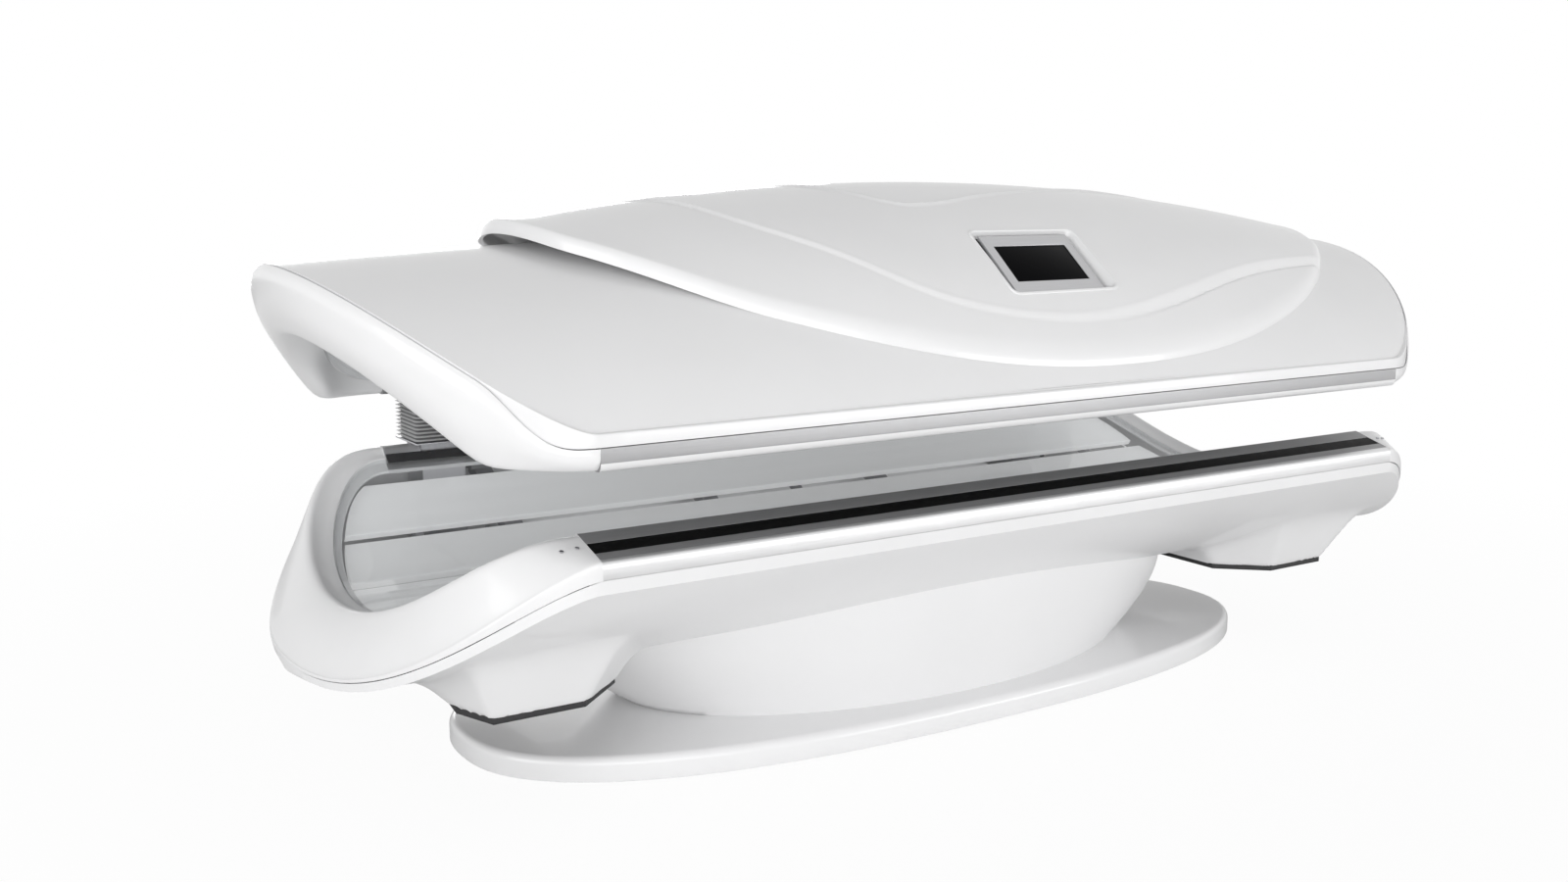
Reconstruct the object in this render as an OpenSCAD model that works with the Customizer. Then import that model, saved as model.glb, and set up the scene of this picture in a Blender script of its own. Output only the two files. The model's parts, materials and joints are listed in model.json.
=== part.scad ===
// Red light therapy bed: a trough-shaped lower bed on a boat-shaped pedestal,
// with an arched canopy that two telescopic columns lift at the rear.
// Length runs along X, the front is at -Y, and the floor is at z = 0.

/* [Overall] */
// Half of the length over the end caps
half_len = 970; // [930:1:1010]
// Half of the width over the side rails
half_w = 434; // [430:1:445]
// Length of an end cap, beyond the end of the side rails
cap_len = 257; // [245:1:265]
// Wall of the moulded shells
wall = 4; // [3:0.5:5]

/* [Floor plate] */
// Thickness of the rubber floor pads
floor_pad_t = 2; // [1:0.5:4]
// Radius of a rubber floor pad
floor_pad_r = 30; // [20:1:40]
// Reach of the floor plate beyond the pedestal's foot, along the length
plate_lead_x = 263; // [230:1:290]
// Reach of the floor plate beyond the pedestal's foot, along the width
plate_lead_y = 51; // [40:1:70]
// Height of the top of the floor plate
plate_top = 38; // [34:1:44]

/* [Pedestal] */
// Gap between the pedestal's top and the feet
boat_gap = 3; // [2:1:20]
// Half of the pedestal's width where it meets the floor plate
boat_b = 240; // [225:1:250]
// How far the pedestal flares outward along the length
boat_flare_x = 106; // [90:1:107]
// How far the pedestal flares outward along the width
boat_flare_y = 34; // [20:1:45]
// Distance of each pedestal post from the end of the pedestal's foot
post_in = 170; // [160:1:180]
// Size of a pedestal post along the length
post_lx = 80; // [70:1:84]
// Size of a pedestal post along the width
post_ly = 120; // [100:1:140]
// Wall of a pedestal post
post_wall = 5; // [3:0.5:8]

/* [Bed] */
// Height of the underside of the bed's hull in the middle
hull_bottom = 172; // [168:1:176]
// Height of the underside of the bed's side rails
rail_low = 352; // [346:1:358]
// Height of the outer face of a bed rail
rail_side = 23; // [18:1:26]
// Height of the bed rail's inner crest above its underside
crest_rise = 43; // [38:1:46]
// Distance of the crest inside the rail's outer face
crest_in = 70; // [66:1:74]
// Drop of the hull's crease below the rail
crease_drop = 17; // [12:1:22]
// Height of the lowest point of an end cap's lower edge
cap_low = 187; // [184:1:190]
// Height of the end cap's crest in the middle of the end
cap_crest = 260; // [256:1:264]
// Distance of that crest inside the end of the bed
crest_end = 67; // [62:1:72]

/* [Acrylic sheets] */
// Thickness of the acrylic sheets
acrylic_t = 5; // [4:0.5:6]
// Distance of a sheet's side inside the outer face of the rails
sheet_side = 89; // [86:1:94]
// Distance of a sheet's end inside the end of the bed
sheet_end = 102; // [94:1:110]
// Height of the bed sheet's lowest line
bed_sheet_low = 245; // [243:1:248]
// Drop of the bed sheet's sides below the rail's crest
seat_drop = 17; // [14:1:20]
// Height of the canopy sheet's highest line
top_sheet_high = 607; // [604:1:612]
// Height of the canopy sheet's sides above the underside of the canopy's rails
top_seat = 16; // [14:1:18]
// Fit of a sheet in its seat
sheet_fit = 0.3; // [0.2:0.05:0.5]

/* [Light panels] */
// Reach of a light panel beyond the end of the rails
panel_lead = 27; // [-10:1:37]
// Air gap between two neighbouring light panels
panel_space = 19.2; // [17:0.1:40]
// Thickness of a light panel
panel_t = 12; // [8:1:14]
// Air gap between a sheet and its light panels
panel_gap = 14; // [12:1:18]
// Number of light panels behind each sheet
panel_n = 6; // [5:1:6]

/* [Feet] */
// Reach of a foot beyond the end of the rails
foot_lead = 93; // [83:1:103]
// Length of a foot
foot_len = 227; // [217:1:232]
// Distance of the feet's front edge inside the outer face of the rails
foot_front_in = 180; // [172:1:189]
// Distance of the feet's rear edge inside the outer face of the rails
foot_rear_in = 4; // [3:1:6]
// Length of the chamfer at a foot's corners
foot_chamfer = 66; // [50:1:80]
// Thickness of the black foot pads
foot_pad_t = 9; // [6:1:12]
// Height of the hull's underside at the feet
foot_z = 146; // [143:1:148]

/* [Canopy] */
// Clear gap between the bed's crest and the canopy rail
open_gap = 89; // [86:1:92]
// Height of the canopy rail
top_rail_h = 27; // [24:1:30]
// Rise of the canopy's arch at its ends
arch_rise = 187; // [182:1:192]
// Extra rise of the arch at mid length
crown = 33; // [25:1:38]
// Depth of the canopy's end cap in the middle
cap_depth = 92; // [88:1:94]

/* [Hood] */
// Rise of the hood above the shell at its highest point
hood_rise = 71; // [66:1:76]
// Distance of the hood's edge inside the outer face of the rails
hood_in = 26; // [22:1:36]
// Step of the hood's edge above the shell
hood_step = 5.3; // [4.8:0.1:6]
// Place along the length of the hood's widest point
hood_mid = 120; // [100:1:140]
// Place along the length of the hood's highest point
hood_peak = 41; // [20:1:60]
// Distance of the hood's left tip inside the end of the canopy
hood_left_in = 290; // [280:1:300]
// Distance of the hood's right tip inside the end of the canopy
hood_right_in = 90; // [80:1:100]
// Distance of the air outlet's open mouth from the hood's left tip
mouth_in = 16; // [12:1:30]

/* [Touch screen] */
// Place along the length of the screen's centre
screen_x = 77; // [60:1:95]
// Distance of the screen's centre inside the outer face of the rails
screen_in = 148; // [142:1:154]
// Depth of the screen's centre below the hood's surface
screen_sink = 5; // [2:1:7]
// Slope of the screen
screen_tilt = 40.3; // [38:0.1:43]
// Length of the screen's recess
recess_l = 205; // [195:1:215]
// Width of the recess down the slope
recess_w = 138; // [130:1:145]
// Gap between the recess's end walls and the bezel
bezel_gap_l = 8.5; // [3:0.5:14]
// Gap between the recess's upper and lower walls and the bezel
bezel_gap_w = 3; // [1:0.5:8]
// Width of the bezel's end bars
bezel_bar_l = 16; // [12:1:22]
// Width of the bezel's upper and lower bars
bezel_bar_w = 22; // [12:1:26]

/* [Lift columns] */
// Distance of each column inside the end of the rails
col_end = 95; // [91:1:99]
// Distance of each column inside the outer face of the rails
col_in = 52; // [51:1:53]
// Outer size of the fixed column tube
col_size = 72; // [70:1:73]
// Wall of the column tubes
col_wall = 3; // [2:0.5:3.5]
// Sliding clearance between two column tubes
col_fit = 0.5; // [0.4:0.1:1]
// Height of the foot plate's underside
col_z0 = 152; // [151.5:0.5:154]
// Thickness of a column's foot plate
col_foot_t = 8; // [6:1:10]
// How far the canopy comes down from the stored height
lift_down = 45; // [30:1:45]
// How far the canopy goes up from the stored height
lift_up = 255; // [200:1:260]
// Length of the middle column tube
mid_len = 240; // [235:1:245]
// Radius of the lift screw
screw_r = 10; // [8:1:12]
// Outer size of the pleated bellows
bellows_size = 100; // [98:1:104]
// Depth of a bellows pleat
pleat_d = 8; // [6:1:9]
// Number of bellows pleats
pleat_n = 13; // [8:1:18]

/* [Fans] */
// Size of a fan's square frame
fan_size = 119; // [110:1:120]
// Thickness of a fan
fan_t = 25; // [22:1:27]
// Distance of the bed fans from the pedestal's posts
fan_out = 110; // [107:1:114]
// Distance of the canopy fans from the middle
top_fan_x = 260; // [240:1:300]
// Number of blades on a fan rotor
blade_n = 7; // [5:1:9]

/* [Hidden] */

// Lengths and widths that follow from the driving sizes
rail_half = half_len - cap_len;
crest_half = half_w - crest_in;
crest_len = half_len - crest_end;
acrylic_half = half_w - sheet_side;
acrylic_len = half_len - sheet_end;
foot_x1 = rail_half + foot_lead;
foot_x0 = foot_x1 - foot_len;
foot_front = half_w - foot_front_in;
foot_rear = half_w - foot_rear_in;
boat_a = foot_x0 - boat_gap - boat_flare_x;
plate_a = boat_a + plate_lead_x;
plate_b = boat_b + plate_lead_y;
post_x = boat_a - post_in;
fan_x = post_x + fan_out;
col_x = rail_half - col_end;
col_y = half_w - col_in;
panel_half = rail_half + panel_lead;
hood_w = half_w - hood_in;
hood_left = -(half_len - hood_left_in);
hood_right = half_len - hood_right_in;
mouth_x = hood_left + mouth_in;
screen_y = half_w - screen_in;
recess_wall_l = 9;
recess_wall_w = 7;
bezel_l = recess_l - 2*(recess_wall_l + bezel_gap_l);
bezel_w = recess_w - 2*(recess_wall_w + bezel_gap_w);
display_l = bezel_l - 2*bezel_bar_l;
display_w = bezel_w - 2*bezel_bar_w;

// Heights that follow from the driving sizes
crest_z = rail_low + crest_rise;
top_low = crest_z + open_gap;
top_rail_z = top_low + top_rail_h;
edge_z = top_rail_z + wall;
function radius_of(chord, rise) = (chord*chord + rise*rise)/(2*rise);
bed_sheet_r = radius_of(acrylic_half, crest_z - seat_drop - bed_sheet_low);
bed_arc_z = bed_sheet_low + bed_sheet_r;
top_sheet_r = radius_of(acrylic_half, top_sheet_high - top_low - top_seat);
top_arc_z = top_sheet_high - top_sheet_r;
seam = 0.3;
tray_z = hull_bottom + wall + 3;
tray_t = 2;
beam_z = tray_z + tray_t;
beam_h = 30;
beam_w = 40;
hull_inset = 2;
bowl_flat = 0.35;
beam_y = bowl_flat*(half_w - hull_inset) - 6.2;
seat_w = 12;
ledge_fit = 1.2;
mid_size = col_size - 2*(col_wall + col_fit);
inner_size = mid_size - 2*(col_wall + col_fit);
col_foot_z = col_z0 + col_foot_t;
collar_t = 3;
collar_z = crest_z + seam;
bellows_z0 = collar_z + collar_t;
head_t = 5.7;
head_z = top_low - seam - head_t;
bellows_z1 = head_z - seam;
nut_t = 12;
mid_z = col_foot_z + 5 + lift_down/2;
inner_len = head_z - (col_foot_z + 22 + lift_down);
pad_spots = [for (a = [0 : 60 : 300]) [0.8*plate_a*cos(a), 0.78*plate_b*sin(a)]];

// Outline of one end: it starts on the side rail at a = 0 and comes back at a = 180
function plan(a, xm, ym, e) = [-(rail_half + (xm - rail_half)*pow(sin(a), e)), ym*cos(a)];
function outer(a, inset = 0) = plan(a, half_len - inset, half_w - inset, 1.25);
function bed_crest(a) = plan(a, crest_len, crest_half, 0.7);
function sheet_edge(a, inset = 0) = plan(a, acrylic_len - inset, acrylic_half - inset, 0.9);
function ends(n) = [for (i = [0 : n]) 90*(1 - cos(180*i/n))];

// Heights of the moulded surfaces
function arch_at(x) = arch_rise + crown*(1 - pow(x/half_len, 2));
function arch_r(h) = radius_of(half_w, h);
function shell_z(x, y) =
  let (h = arch_at(x), r = arch_r(h)) edge_z + h - r + sqrt(max(0, r*r - y*y));
function bed_sheet_z(y) = bed_arc_z - sqrt(pow(bed_sheet_r, 2) - y*y);
function bed_under_z(y) = bed_arc_z - sqrt(pow(bed_sheet_r + acrylic_t, 2) - y*y);
function top_sheet_z(y) = top_arc_z + sqrt(pow(top_sheet_r, 2) - y*y);
function top_over_z(y) = top_arc_z + sqrt(pow(top_sheet_r + acrylic_t, 2) - y*y);
function cap_low_z(c) = cap_low + (rail_low - cap_low)*pow(abs(c), 2.9);
function cap_crest_z(c) = cap_crest + (crest_z - cap_crest)*pow(abs(c), 2.25);
lip_r = 500;
lip_blend = 12;
function lip_z(y) =
  let (mid = edge_z + arch_rise - cap_depth, arch = mid - lip_r + sqrt(lip_r*lip_r - y*y))
  top_low + lip_blend*ln(1 + exp((arch - top_low)/lip_blend));
function mix(p, q, t) = p + (q - p)*t;
function smin(a, b, k) = let (h = max(k - abs(a - b), 0)/k) min(a, b) - h*h*k/4;

// Outline and underside of the hull, whose middle is nearly flat over a share of the width
function end_part(x) = max(0, (abs(x) - rail_half)/(half_len - hull_inset - rail_half));
function hull_w(x) = (half_w - hull_inset)*sqrt(max(0, 1 - pow(end_part(x), 1.6)));
function bowl_z(x, y) =
  let (w = hull_w(x), c = w/(half_w - hull_inset), rim = cap_low_z(c) - crease_drop*(0.5 + 0.5*c))
  mix(hull_bottom, rim, 0.02*pow(y/w, 2) + 0.98*pow(max(0, (abs(y)/w - bowl_flat)/(1 - bowl_flat)), 1.5));

// Side faces of a foot: planes through the edges of its flat underside, with two chamfered front corners
foot_cut_in = 76;
foot_cut_out = 24;
function foot_rise(x, y) =
  let (u = abs(x), c = foot_chamfer, ahead = -foot_front - y,
    corner_in = ((foot_x0 + foot_cut_in - u)*c + ahead*foot_cut_in)/norm([c, foot_cut_in]),
    corner_out = ((u - foot_x1 + foot_cut_out)*c + ahead*foot_cut_out)/norm([c, foot_cut_out]))
  max(0, 2*ahead, 1.1*(u - foot_x1), 1.4*(foot_x0 - u), 2*(y - foot_rear), 1.7*corner_in, 1.6*corner_out);
function hull_z(x, y) = smin(bowl_z(x, y), foot_z + foot_rise(x, y), 24);

// Outline and height of the hood
function hood_part(x) = x < hood_mid
  ? pow((hood_mid - x)/(hood_mid - hood_left), 2.1)
  : pow((x - hood_mid)/(hood_right - hood_mid), 2.38);
function hood_half(x) = hood_w*sqrt(max(0.0001, 1 - hood_part(x)));
hood_fall_left = 45.8;
hood_fall_right = 52.8;
function hood_over(x) = hood_rise - (x < hood_peak
  ? hood_fall_left*pow((hood_peak - x)/(hood_peak - hood_left), 2)
  : hood_fall_right*pow((x - hood_peak)/(hood_right - hood_peak), 2));
function hood_z(x, t) =
  shell_z(x, t*hood_half(x)) + hood_step
  + (hood_over(x) - hood_step)*pow(max(0, 1 - t*t), 0.8);

cap_steps = ends(28);

// Solid through a row of closed rings, each ring a list of points in the same order
module skin(rings, looped = false) {
  n = len(rings);
  m = len(rings[0]);
  last = looped ? n - 1 : n - 2;
  sides = [for (i = [0 : last], k = [0 : m - 1])
    let (j = (i + 1) % n, l = (k + 1) % m)
    each [[i*m + k, j*m + k, j*m + l], [i*m + k, j*m + l, i*m + l]]];
  caps = looped ? [] : [[for (k = [0 : m - 1]) k], [for (k = [m - 1 : -1 : 0]) (n - 1)*m + k]];
  polyhedron(points = [for (r = rings) each r], faces = concat(sides, caps), convexity = 8);
}

// Bar along the length with the given section in Y and Z
module bar(half, section) {
  translate([-half, 0, 0]) rotate([90, 0, 90]) linear_extrude(2*half) polygon(section);
}

module mirrored_y() {
  children();
  mirror([0, 1, 0]) children();
}

module at_columns(side) {
  translate([side*col_x, col_y, 0]) children();
}

module tube(size, t, length) {
  difference() {
    translate([-size/2, -size/2, 0]) cube([size, size, length]);
    translate([-size/2 + t, -size/2 + t, -1]) cube([size - 2*t, size - 2*t, length + 2]);
  }
}

module block(x, y, z, sx, sy, sz) {
  translate([x - sx/2, y - sy/2, z]) cube([sx, sy, sz]);
}

// Floor plate and pedestal

module floor_pads() {
  color("dimgray") {
    cylinder(r = floor_pad_r, h = floor_pad_t, $fn = 48);
    for (p = pad_spots) translate([p[0], p[1], 0]) cylinder(r = floor_pad_r, h = floor_pad_t, $fn = 48);
  }
}

plate_power = 2/2.45;
function plate_ring(inset, z) = [for (i = [0 : 71]) let (a = -5*i)
  [(plate_a - inset)*sign(cos(a))*pow(abs(cos(a)), plate_power),
   (plate_b - inset)*sign(sin(a))*pow(abs(sin(a)), plate_power), z]];

module base_plate() {
  color("white") skin([plate_ring(4, floor_pad_t), plate_ring(0, floor_pad_t + 4),
    plate_ring(0, plate_top - 12), plate_ring(3, plate_top - 4), plate_ring(11, plate_top)]);
}

function boat_point(a, t, inset) =
  let (x = (boat_a + boat_flare_x*t - inset)*cos(a), y = (boat_b + boat_flare_y*t - inset)*sin(a))
  [x, y];
function boat_ring(a) =
  let (top = boat_point(a, 1, 0), inside = boat_point(a, 1, 20), steps = [0, 0.2, 0.45, 0.7, 1],
    rim = min(hull_z(top[0], top[1]), hull_z(inside[0], inside[1])) - 1.2)
  concat([for (t = steps) let (p = boat_point(a, sin(90*t), 0)) [p[0], p[1], mix(plate_top, rim, t)]],
    [for (i = [len(steps) - 1 : -1 : 0]) let (t = steps[i], p = boat_point(a, sin(90*t), wall))
      [p[0], p[1], mix(plate_top, rim, t)]]);

module pedestal_shell() {
  color("white") skin([for (i = [0 : 59]) boat_ring(6*i)], looped = true);
}

module pedestal_posts() {
  flange = 8;
  color("gray") for (s = [-1, 1]) difference() {
    union() {
      block(s*post_x, 0, plate_top, post_lx + 60, post_ly + 80, flange);
      block(s*post_x, 0, plate_top, post_lx, post_ly, tray_z - plate_top);
    }
    block(s*post_x, 0, plate_top + flange, post_lx - 2*post_wall, post_ly - 2*post_wall, tray_z);
    for (u = [-1, 1], v = [-1, 1])
      translate([s*post_x + u*(post_lx/2 + 15), v*(post_ly/2 + 20), plate_top - 1]) cylinder(r = 6, h = 20, $fn = 32);
  }
}

// Frame inside the bed

arm_gap = 78;
arm_spots = [for (k = [-3 : 2 : 3]) k*(col_x - arm_gap)/3];
module bed_arm(x) {
  foot = [beam_y - 10, beam_z + 15];
  head = [half_w - 30, rail_low - 11];
  tilt = atan2(head[1] - foot[1], head[0] - foot[0]);
  length = norm(head - foot);
  translate([x - 15, foot[0], foot[1]]) rotate([tilt, 0, 0]) translate([0, 0, -10]) cube([30, length, 20]);
  block(x, half_w - 32, rail_low - 13, 40, 44, 12.7);
}

function arc_pts(r, z0, side, from, to, n) =
  [for (i = [0 : n]) let (a = mix(from, to, i/n)) [r*sin(a), z0 + side*r*cos(a)]];

rib_t = 12;
rib_h = 14;
module bed_rib(x) {
  reach = panel_n/2*bed_pitch - 1.1;
  top = bed_arc_z - sqrt(pow(bed_rib_r + rib_h/2, 2) - beam_y*beam_y);
  translate([x - rib_t/2, 0, bed_arc_z]) rotate([90, 0, 90]) linear_extrude(rib_t) intersection() {
    difference() {
      circle(r = bed_rib_r + rib_h, $fn = 180);
      circle(r = bed_rib_r, $fn = 180);
    }
    polygon([[0, 0], 2*bed_rib_r*[-tan(reach), -1], 2*bed_rib_r*[tan(reach), -1]]);
  }
  for (s = [-1, 1]) block(x, s*beam_y, beam_z, rib_t, beam_w, top - beam_z);
}

module bed_frame() {
  beam_half = rail_half + 17;
  tray_half = col_x + 42;
  stay_y = 0.7*foot_front;
  tie_front = beam_y + beam_w/2;
  tie_rear = col_y - col_size/2;
  color("dimgray") difference() {
    union() {
      for (s = [-1, 1]) block(0, s*beam_y, beam_z, 2*beam_half, beam_w, beam_h);
      block(0, 0, tray_z, 2*tray_half, 2*beam_y, tray_t);
      for (s = [-1, 1]) {
        block(s*post_x, 0, tray_z, post_lx, 2*beam_y, 14);
        block(s*col_x, (tie_rear - tie_front)/2, beam_z, 60, tie_rear + tie_front, beam_h);
        for (y = [-stay_y, stay_y])
          block(s*(foot_x0 + foot_x1)/2, y, foot_z + wall + seam, 60, 40, 40);
        block(s*(foot_x0 + foot_x1)/2, 0, beam_z, 60, 2*stay_y + 40, 20);
        bed_rib(s*(panel_half - 45));
      }
      bed_rib(0);
      difference() {
        for (x = arm_spots) mirrored_y() bed_arm(x);
        translate([-half_len, 0, bed_arc_z]) rotate([90, 0, 90])
          cylinder(r = bed_rib_r, h = 2*half_len, $fn = 180);
      }
    }
    for (s = [-1, 1]) translate([s*fan_x, 0, tray_z - 1]) cylinder(r = fan_size/2 - 3, h = tray_t + 2, $fn = 64);
  }
}

// Hull and its feet

hull_rows = concat([outer(86, hull_inset)[0]], [for (i = [13 : -1 : 2]) outer(cap_steps[i], hull_inset)[0]],
  [-rail_half, -foot_x0 - 81, -foot_x0 - 51, -foot_x0 - 21, -foot_x0],
  [for (u = [0.976, 0.95, 0.919, 0.881, 0.812, 0.691, 0.518, 0.311, 0.104]) -u*foot_x0]);
function hull_rim_z(w) = cap_low_z(w/(half_w - hull_inset)) - seam;
module lower_shell() {
  rows = concat(hull_rows, [for (i = [len(hull_rows) - 1 : -1 : 0]) -hull_rows[i]]);
  side = [0.14, 0.28, 0.42, 0.52, 0.59, 0.625, 0.66, 0.72, 0.8, 0.88, 0.94, 0.98, 1];
  cols = concat([for (i = [len(side) - 1 : -1 : 0]) -side[i]], [0], side);
  rings = [for (x = rows)
    let (w = hull_w(x), v = min(wall, w/3), rim = hull_rim_z(w), inner = hull_rim_z(w - v))
    concat([[x, -w, rim]],
      [for (t = cols) [x, t*w, hull_z(x, t*w)]],
      [[x, w, rim], [x, w - v, inner]],
      [for (i = [len(cols) - 1 : -1 : 0]) let (y = cols[i]*(w - v))
        [x, y, min(inner - 0.5, hull_z(x, y*w/(w - v)) + wall)]],
      [[x, -w + v, inner]])];
  color("white") difference() {
    skin(rings);
    for (s = [-1, 1]) {
      block(s*post_x, 0, hull_bottom - 20, post_lx + 4, post_ly + 4, 40);
      translate([s*fan_x, 0, hull_bottom - 20]) cylinder(r = fan_size/2 - 6, h = 40, $fn = 64);
    }
    translate([inlet_x - inlet_l/2, inlet_face - 30, inlet_z - inlet_h/2]) cube([inlet_l, 60, inlet_h]);
  }
}

module foot_pad(side) {
  c = foot_chamfer;
  x0 = foot_x0 + 2;
  x1 = foot_x1;
  rear = foot_rear - 8;
  taper = 0.13*(rear + foot_front - 2*c);
  color("black") mirror([side < 0 ? 1 : 0, 0, 0]) translate([0, 0, foot_z - foot_pad_t])
    linear_extrude(foot_pad_t) polygon([[x0, -foot_front + c], [foot_x0 + foot_cut_in, -foot_front],
      [x1 - foot_cut_out, -foot_front], [x1, -foot_front + c], [x1 - taper, rear - c],
      [x1 - taper - 34, rear], [x0 + 30, rear], [x0, rear - 30]]);
}

// Bed rails, caps, sheet and panels

module bed_rail_section() {
  h = acrylic_half;
  f = sheet_fit;
  polygon([[half_w, rail_low], [half_w, rail_low + rail_side - 4], [half_w - 4, rail_low + rail_side],
    [crest_half + 4, crest_z - 1], [crest_half, crest_z], [crest_half - 7, crest_z - 3],
    [h + 2.5, bed_sheet_z(h) + 2.5], [h + 0.6, bed_sheet_z(h) + f], [h + f, bed_under_z(h) - f],
    [h - seat_w, bed_under_z(h - seat_w) - f], [h - seat_w, bed_under_z(h - seat_w) - 6],
    [h + 5, rail_low + 2], [h + 8, rail_low]]);
}

strip_from = 0.38;
strip_to = 0.73;
strip_d = 3;
function rail_face(t) = [mix(crest_half, half_w - 4, t), mix(crest_z, rail_low + rail_side, t)];
module strip_section(grow) {
  p = rail_face(strip_from);
  q = rail_face(strip_to);
  polygon([[p[0] - grow, p[1] - strip_d - grow], [p[0] - grow, p[1] + 5*grow], [q[0] + grow, q[1] + 5*grow],
    [q[0] + grow, q[1] - strip_d - grow]]);
}

module rail_strip() {
  color("black") translate([-rail_half + 1, 0, 0]) rotate([90, 0, 90]) linear_extrude(2*rail_half - 2) strip_section(0);
}

module bed_rail() {
  color("silver") translate([-rail_half, 0, 0]) rotate([90, 0, 90]) linear_extrude(2*rail_half) difference() {
    bed_rail_section();
    strip_section(0.25);
  }
}

module column_notch() {
  for (s = [-1, 1]) block(s*col_x, col_y, rail_low - 60, col_size + 1, col_size + 1, 200);
}

module bed_rail_front() {
  mirror([0, 1, 0]) bed_rail();
}

module bed_rail_back() {
  difference() {
    bed_rail();
    column_notch();
  }
}

module rail_strip_front() {
  mirror([0, 1, 0]) rail_strip();
}

module rail_strip_back() {
  difference() {
    rail_strip();
    for (s = [-1, 1]) block(s*col_x, col_y, rail_low, col_size + 1, col_size + 1, 200);
  }
}

function bed_cap_ring(a) =
  let (c = abs(cos(a)), low = cap_low_z(c), top = cap_crest_z(c), o = outer(a), o3 = outer(a, 3), o5 = outer(a, 5),
    k = bed_crest(a), s = sheet_edge(a), si = sheet_edge(a, seat_w), f = ledge_fit,
    seat = bed_sheet_z(s[1]), under = bed_under_z(s[1]) - f, ledge = bed_under_z(si[1]) - f,
    m = mix(o3, k, 0.5), mz = mix(low + rail_side, top, 0.5) + 5*(1 - c*c), w = mix(k, s, 0.5),
    wz = mix(top, seat, 0.72), dip = 6)
  [[o[0], o[1], low], [o[0], o[1], low + rail_side - 5], [o3[0], o3[1], low + rail_side],
    [m[0], m[1], mz], [k[0], k[1], top], [w[0], w[1], wz], [s[0], s[1], seat + 0.5],
    [s[0], s[1], under], [si[0], si[1], ledge], [si[0], si[1], ledge - wall],
    [mix(s[0], k[0], 0.2), mix(s[1], k[1], 0.2), under - wall], [k[0], k[1], top - dip - 3], [m[0], m[1], mz - dip],
    [o5[0], o5[1], low + rail_side - 7], [o5[0], o5[1], low]];

module bed_cap() {
  color("white") skin([for (a = cap_steps) bed_cap_ring(a)]);
}

module bed_cap_left() {
  bed_cap();
}

module bed_cap_right() {
  mirror([1, 0, 0]) bed_cap();
}

module sheet_plan() {
  pts = [for (i = [1 : 23]) sheet_edge(i*7.5, 1.6)];
  polygon(concat(pts, [for (i = [22 : -1 : 0]) [-pts[i][0], pts[i][1]]]));
}

module bed_acrylic() {
  color("lightblue", 0.4) intersection() {
    translate([-half_len, 0, bed_arc_z]) rotate([90, 0, 90]) linear_extrude(2*half_len) difference() {
      circle(r = bed_sheet_r + acrylic_t, $fn = 180);
      circle(r = bed_sheet_r, $fn = 180);
    }
    linear_extrude(bed_arc_z) sheet_plan();
  }
}

module bed_seals() {
  h = acrylic_half;
  color("black") difference() {
    mirrored_y() bar(rail_half - 1, [[h + 0.3, bed_sheet_z(h) + 0.8],
      [h + 3.4, bed_sheet_z(h) + 5.6],
      [h - 2, bed_sheet_z(h) + 5], [h - 8, bed_sheet_z(h - 8) + 0.4]]);
    column_notch();
  }
}

// Angle left free beside the outer panels, and the angle from one panel to the next
bed_panel_edge = 2.6;
top_panel_edge = 0.4;
bed_pitch = 2*(asin(acrylic_half/bed_sheet_r) - bed_panel_edge)/panel_n;
top_pitch = 2*(asin(acrylic_half/top_sheet_r) - top_panel_edge)/panel_n;
bed_panel_r = bed_sheet_r + acrylic_t + panel_gap;
top_panel_r = top_sheet_r + acrylic_t + panel_gap;
panel_w = 2*bed_panel_r*tan(bed_pitch/2) - panel_space;
bed_rib_r = norm([bed_panel_r + panel_t, panel_w/2]) + 0.4;
module light_panels(low, pitch) {
  for (i = [0 : panel_n - 1]) rotate([(i - (panel_n - 1)/2)*pitch, 0, 0])
    translate([-panel_half, -panel_w/2, low]) cube([2*panel_half, panel_w, panel_t]);
}

module bed_light_panels() {
  color("lightgray") translate([0, 0, bed_arc_z]) light_panels(-bed_panel_r - panel_t, bed_pitch);
}

// Electrical parts inside the bed

box_h = 28;
supply_gap = 14.5;
supply_l = post_x - post_lx/2 - 3*supply_gap - 1.5;
supply_w = beam_y - beam_w/2 - 10;
module power_supplies() {
  color("silver") for (u = [-1, 1], v = [-1, 1])
    block(u*(supply_gap + supply_l/2), v*(8.5 + supply_w/2), beam_z, supply_l, supply_w, box_h);
}

control_l = 96;
control_out = 120;
module control_box() {
  color("darkslategray") block(-fan_x - control_out, 0, beam_z, control_l, 2*beam_y - beam_w - 50, box_h);
}

hub_r = 19;
fan_bore = 4;
module fan_frame() {
  color("#202226") {
    difference() {
      translate([-fan_size/2, -fan_size/2, 0]) cube([fan_size, fan_size, fan_t]);
      translate([0, 0, -1]) cylinder(r = fan_size/2 - fan_bore, h = fan_t + 2, $fn = 96);
      for (u = [-1, 1], v = [-1, 1])
        translate([u*(fan_size/2 - 7), v*(fan_size/2 - 7), -1]) cylinder(r = 2.2, h = fan_t + 2, $fn = 24);
    }
    difference() {
      union() {
        cylinder(r = hub_r, h = 4, $fn = 48);
        for (a = [0, 120, 240]) rotate([0, 0, a]) translate([0, -2.5, 0]) cube([fan_size/2 - fan_bore + 1, 5, 4]);
      }
    }
    cylinder(r = 3, h = 18, $fn = 32);
  }
}

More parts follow.
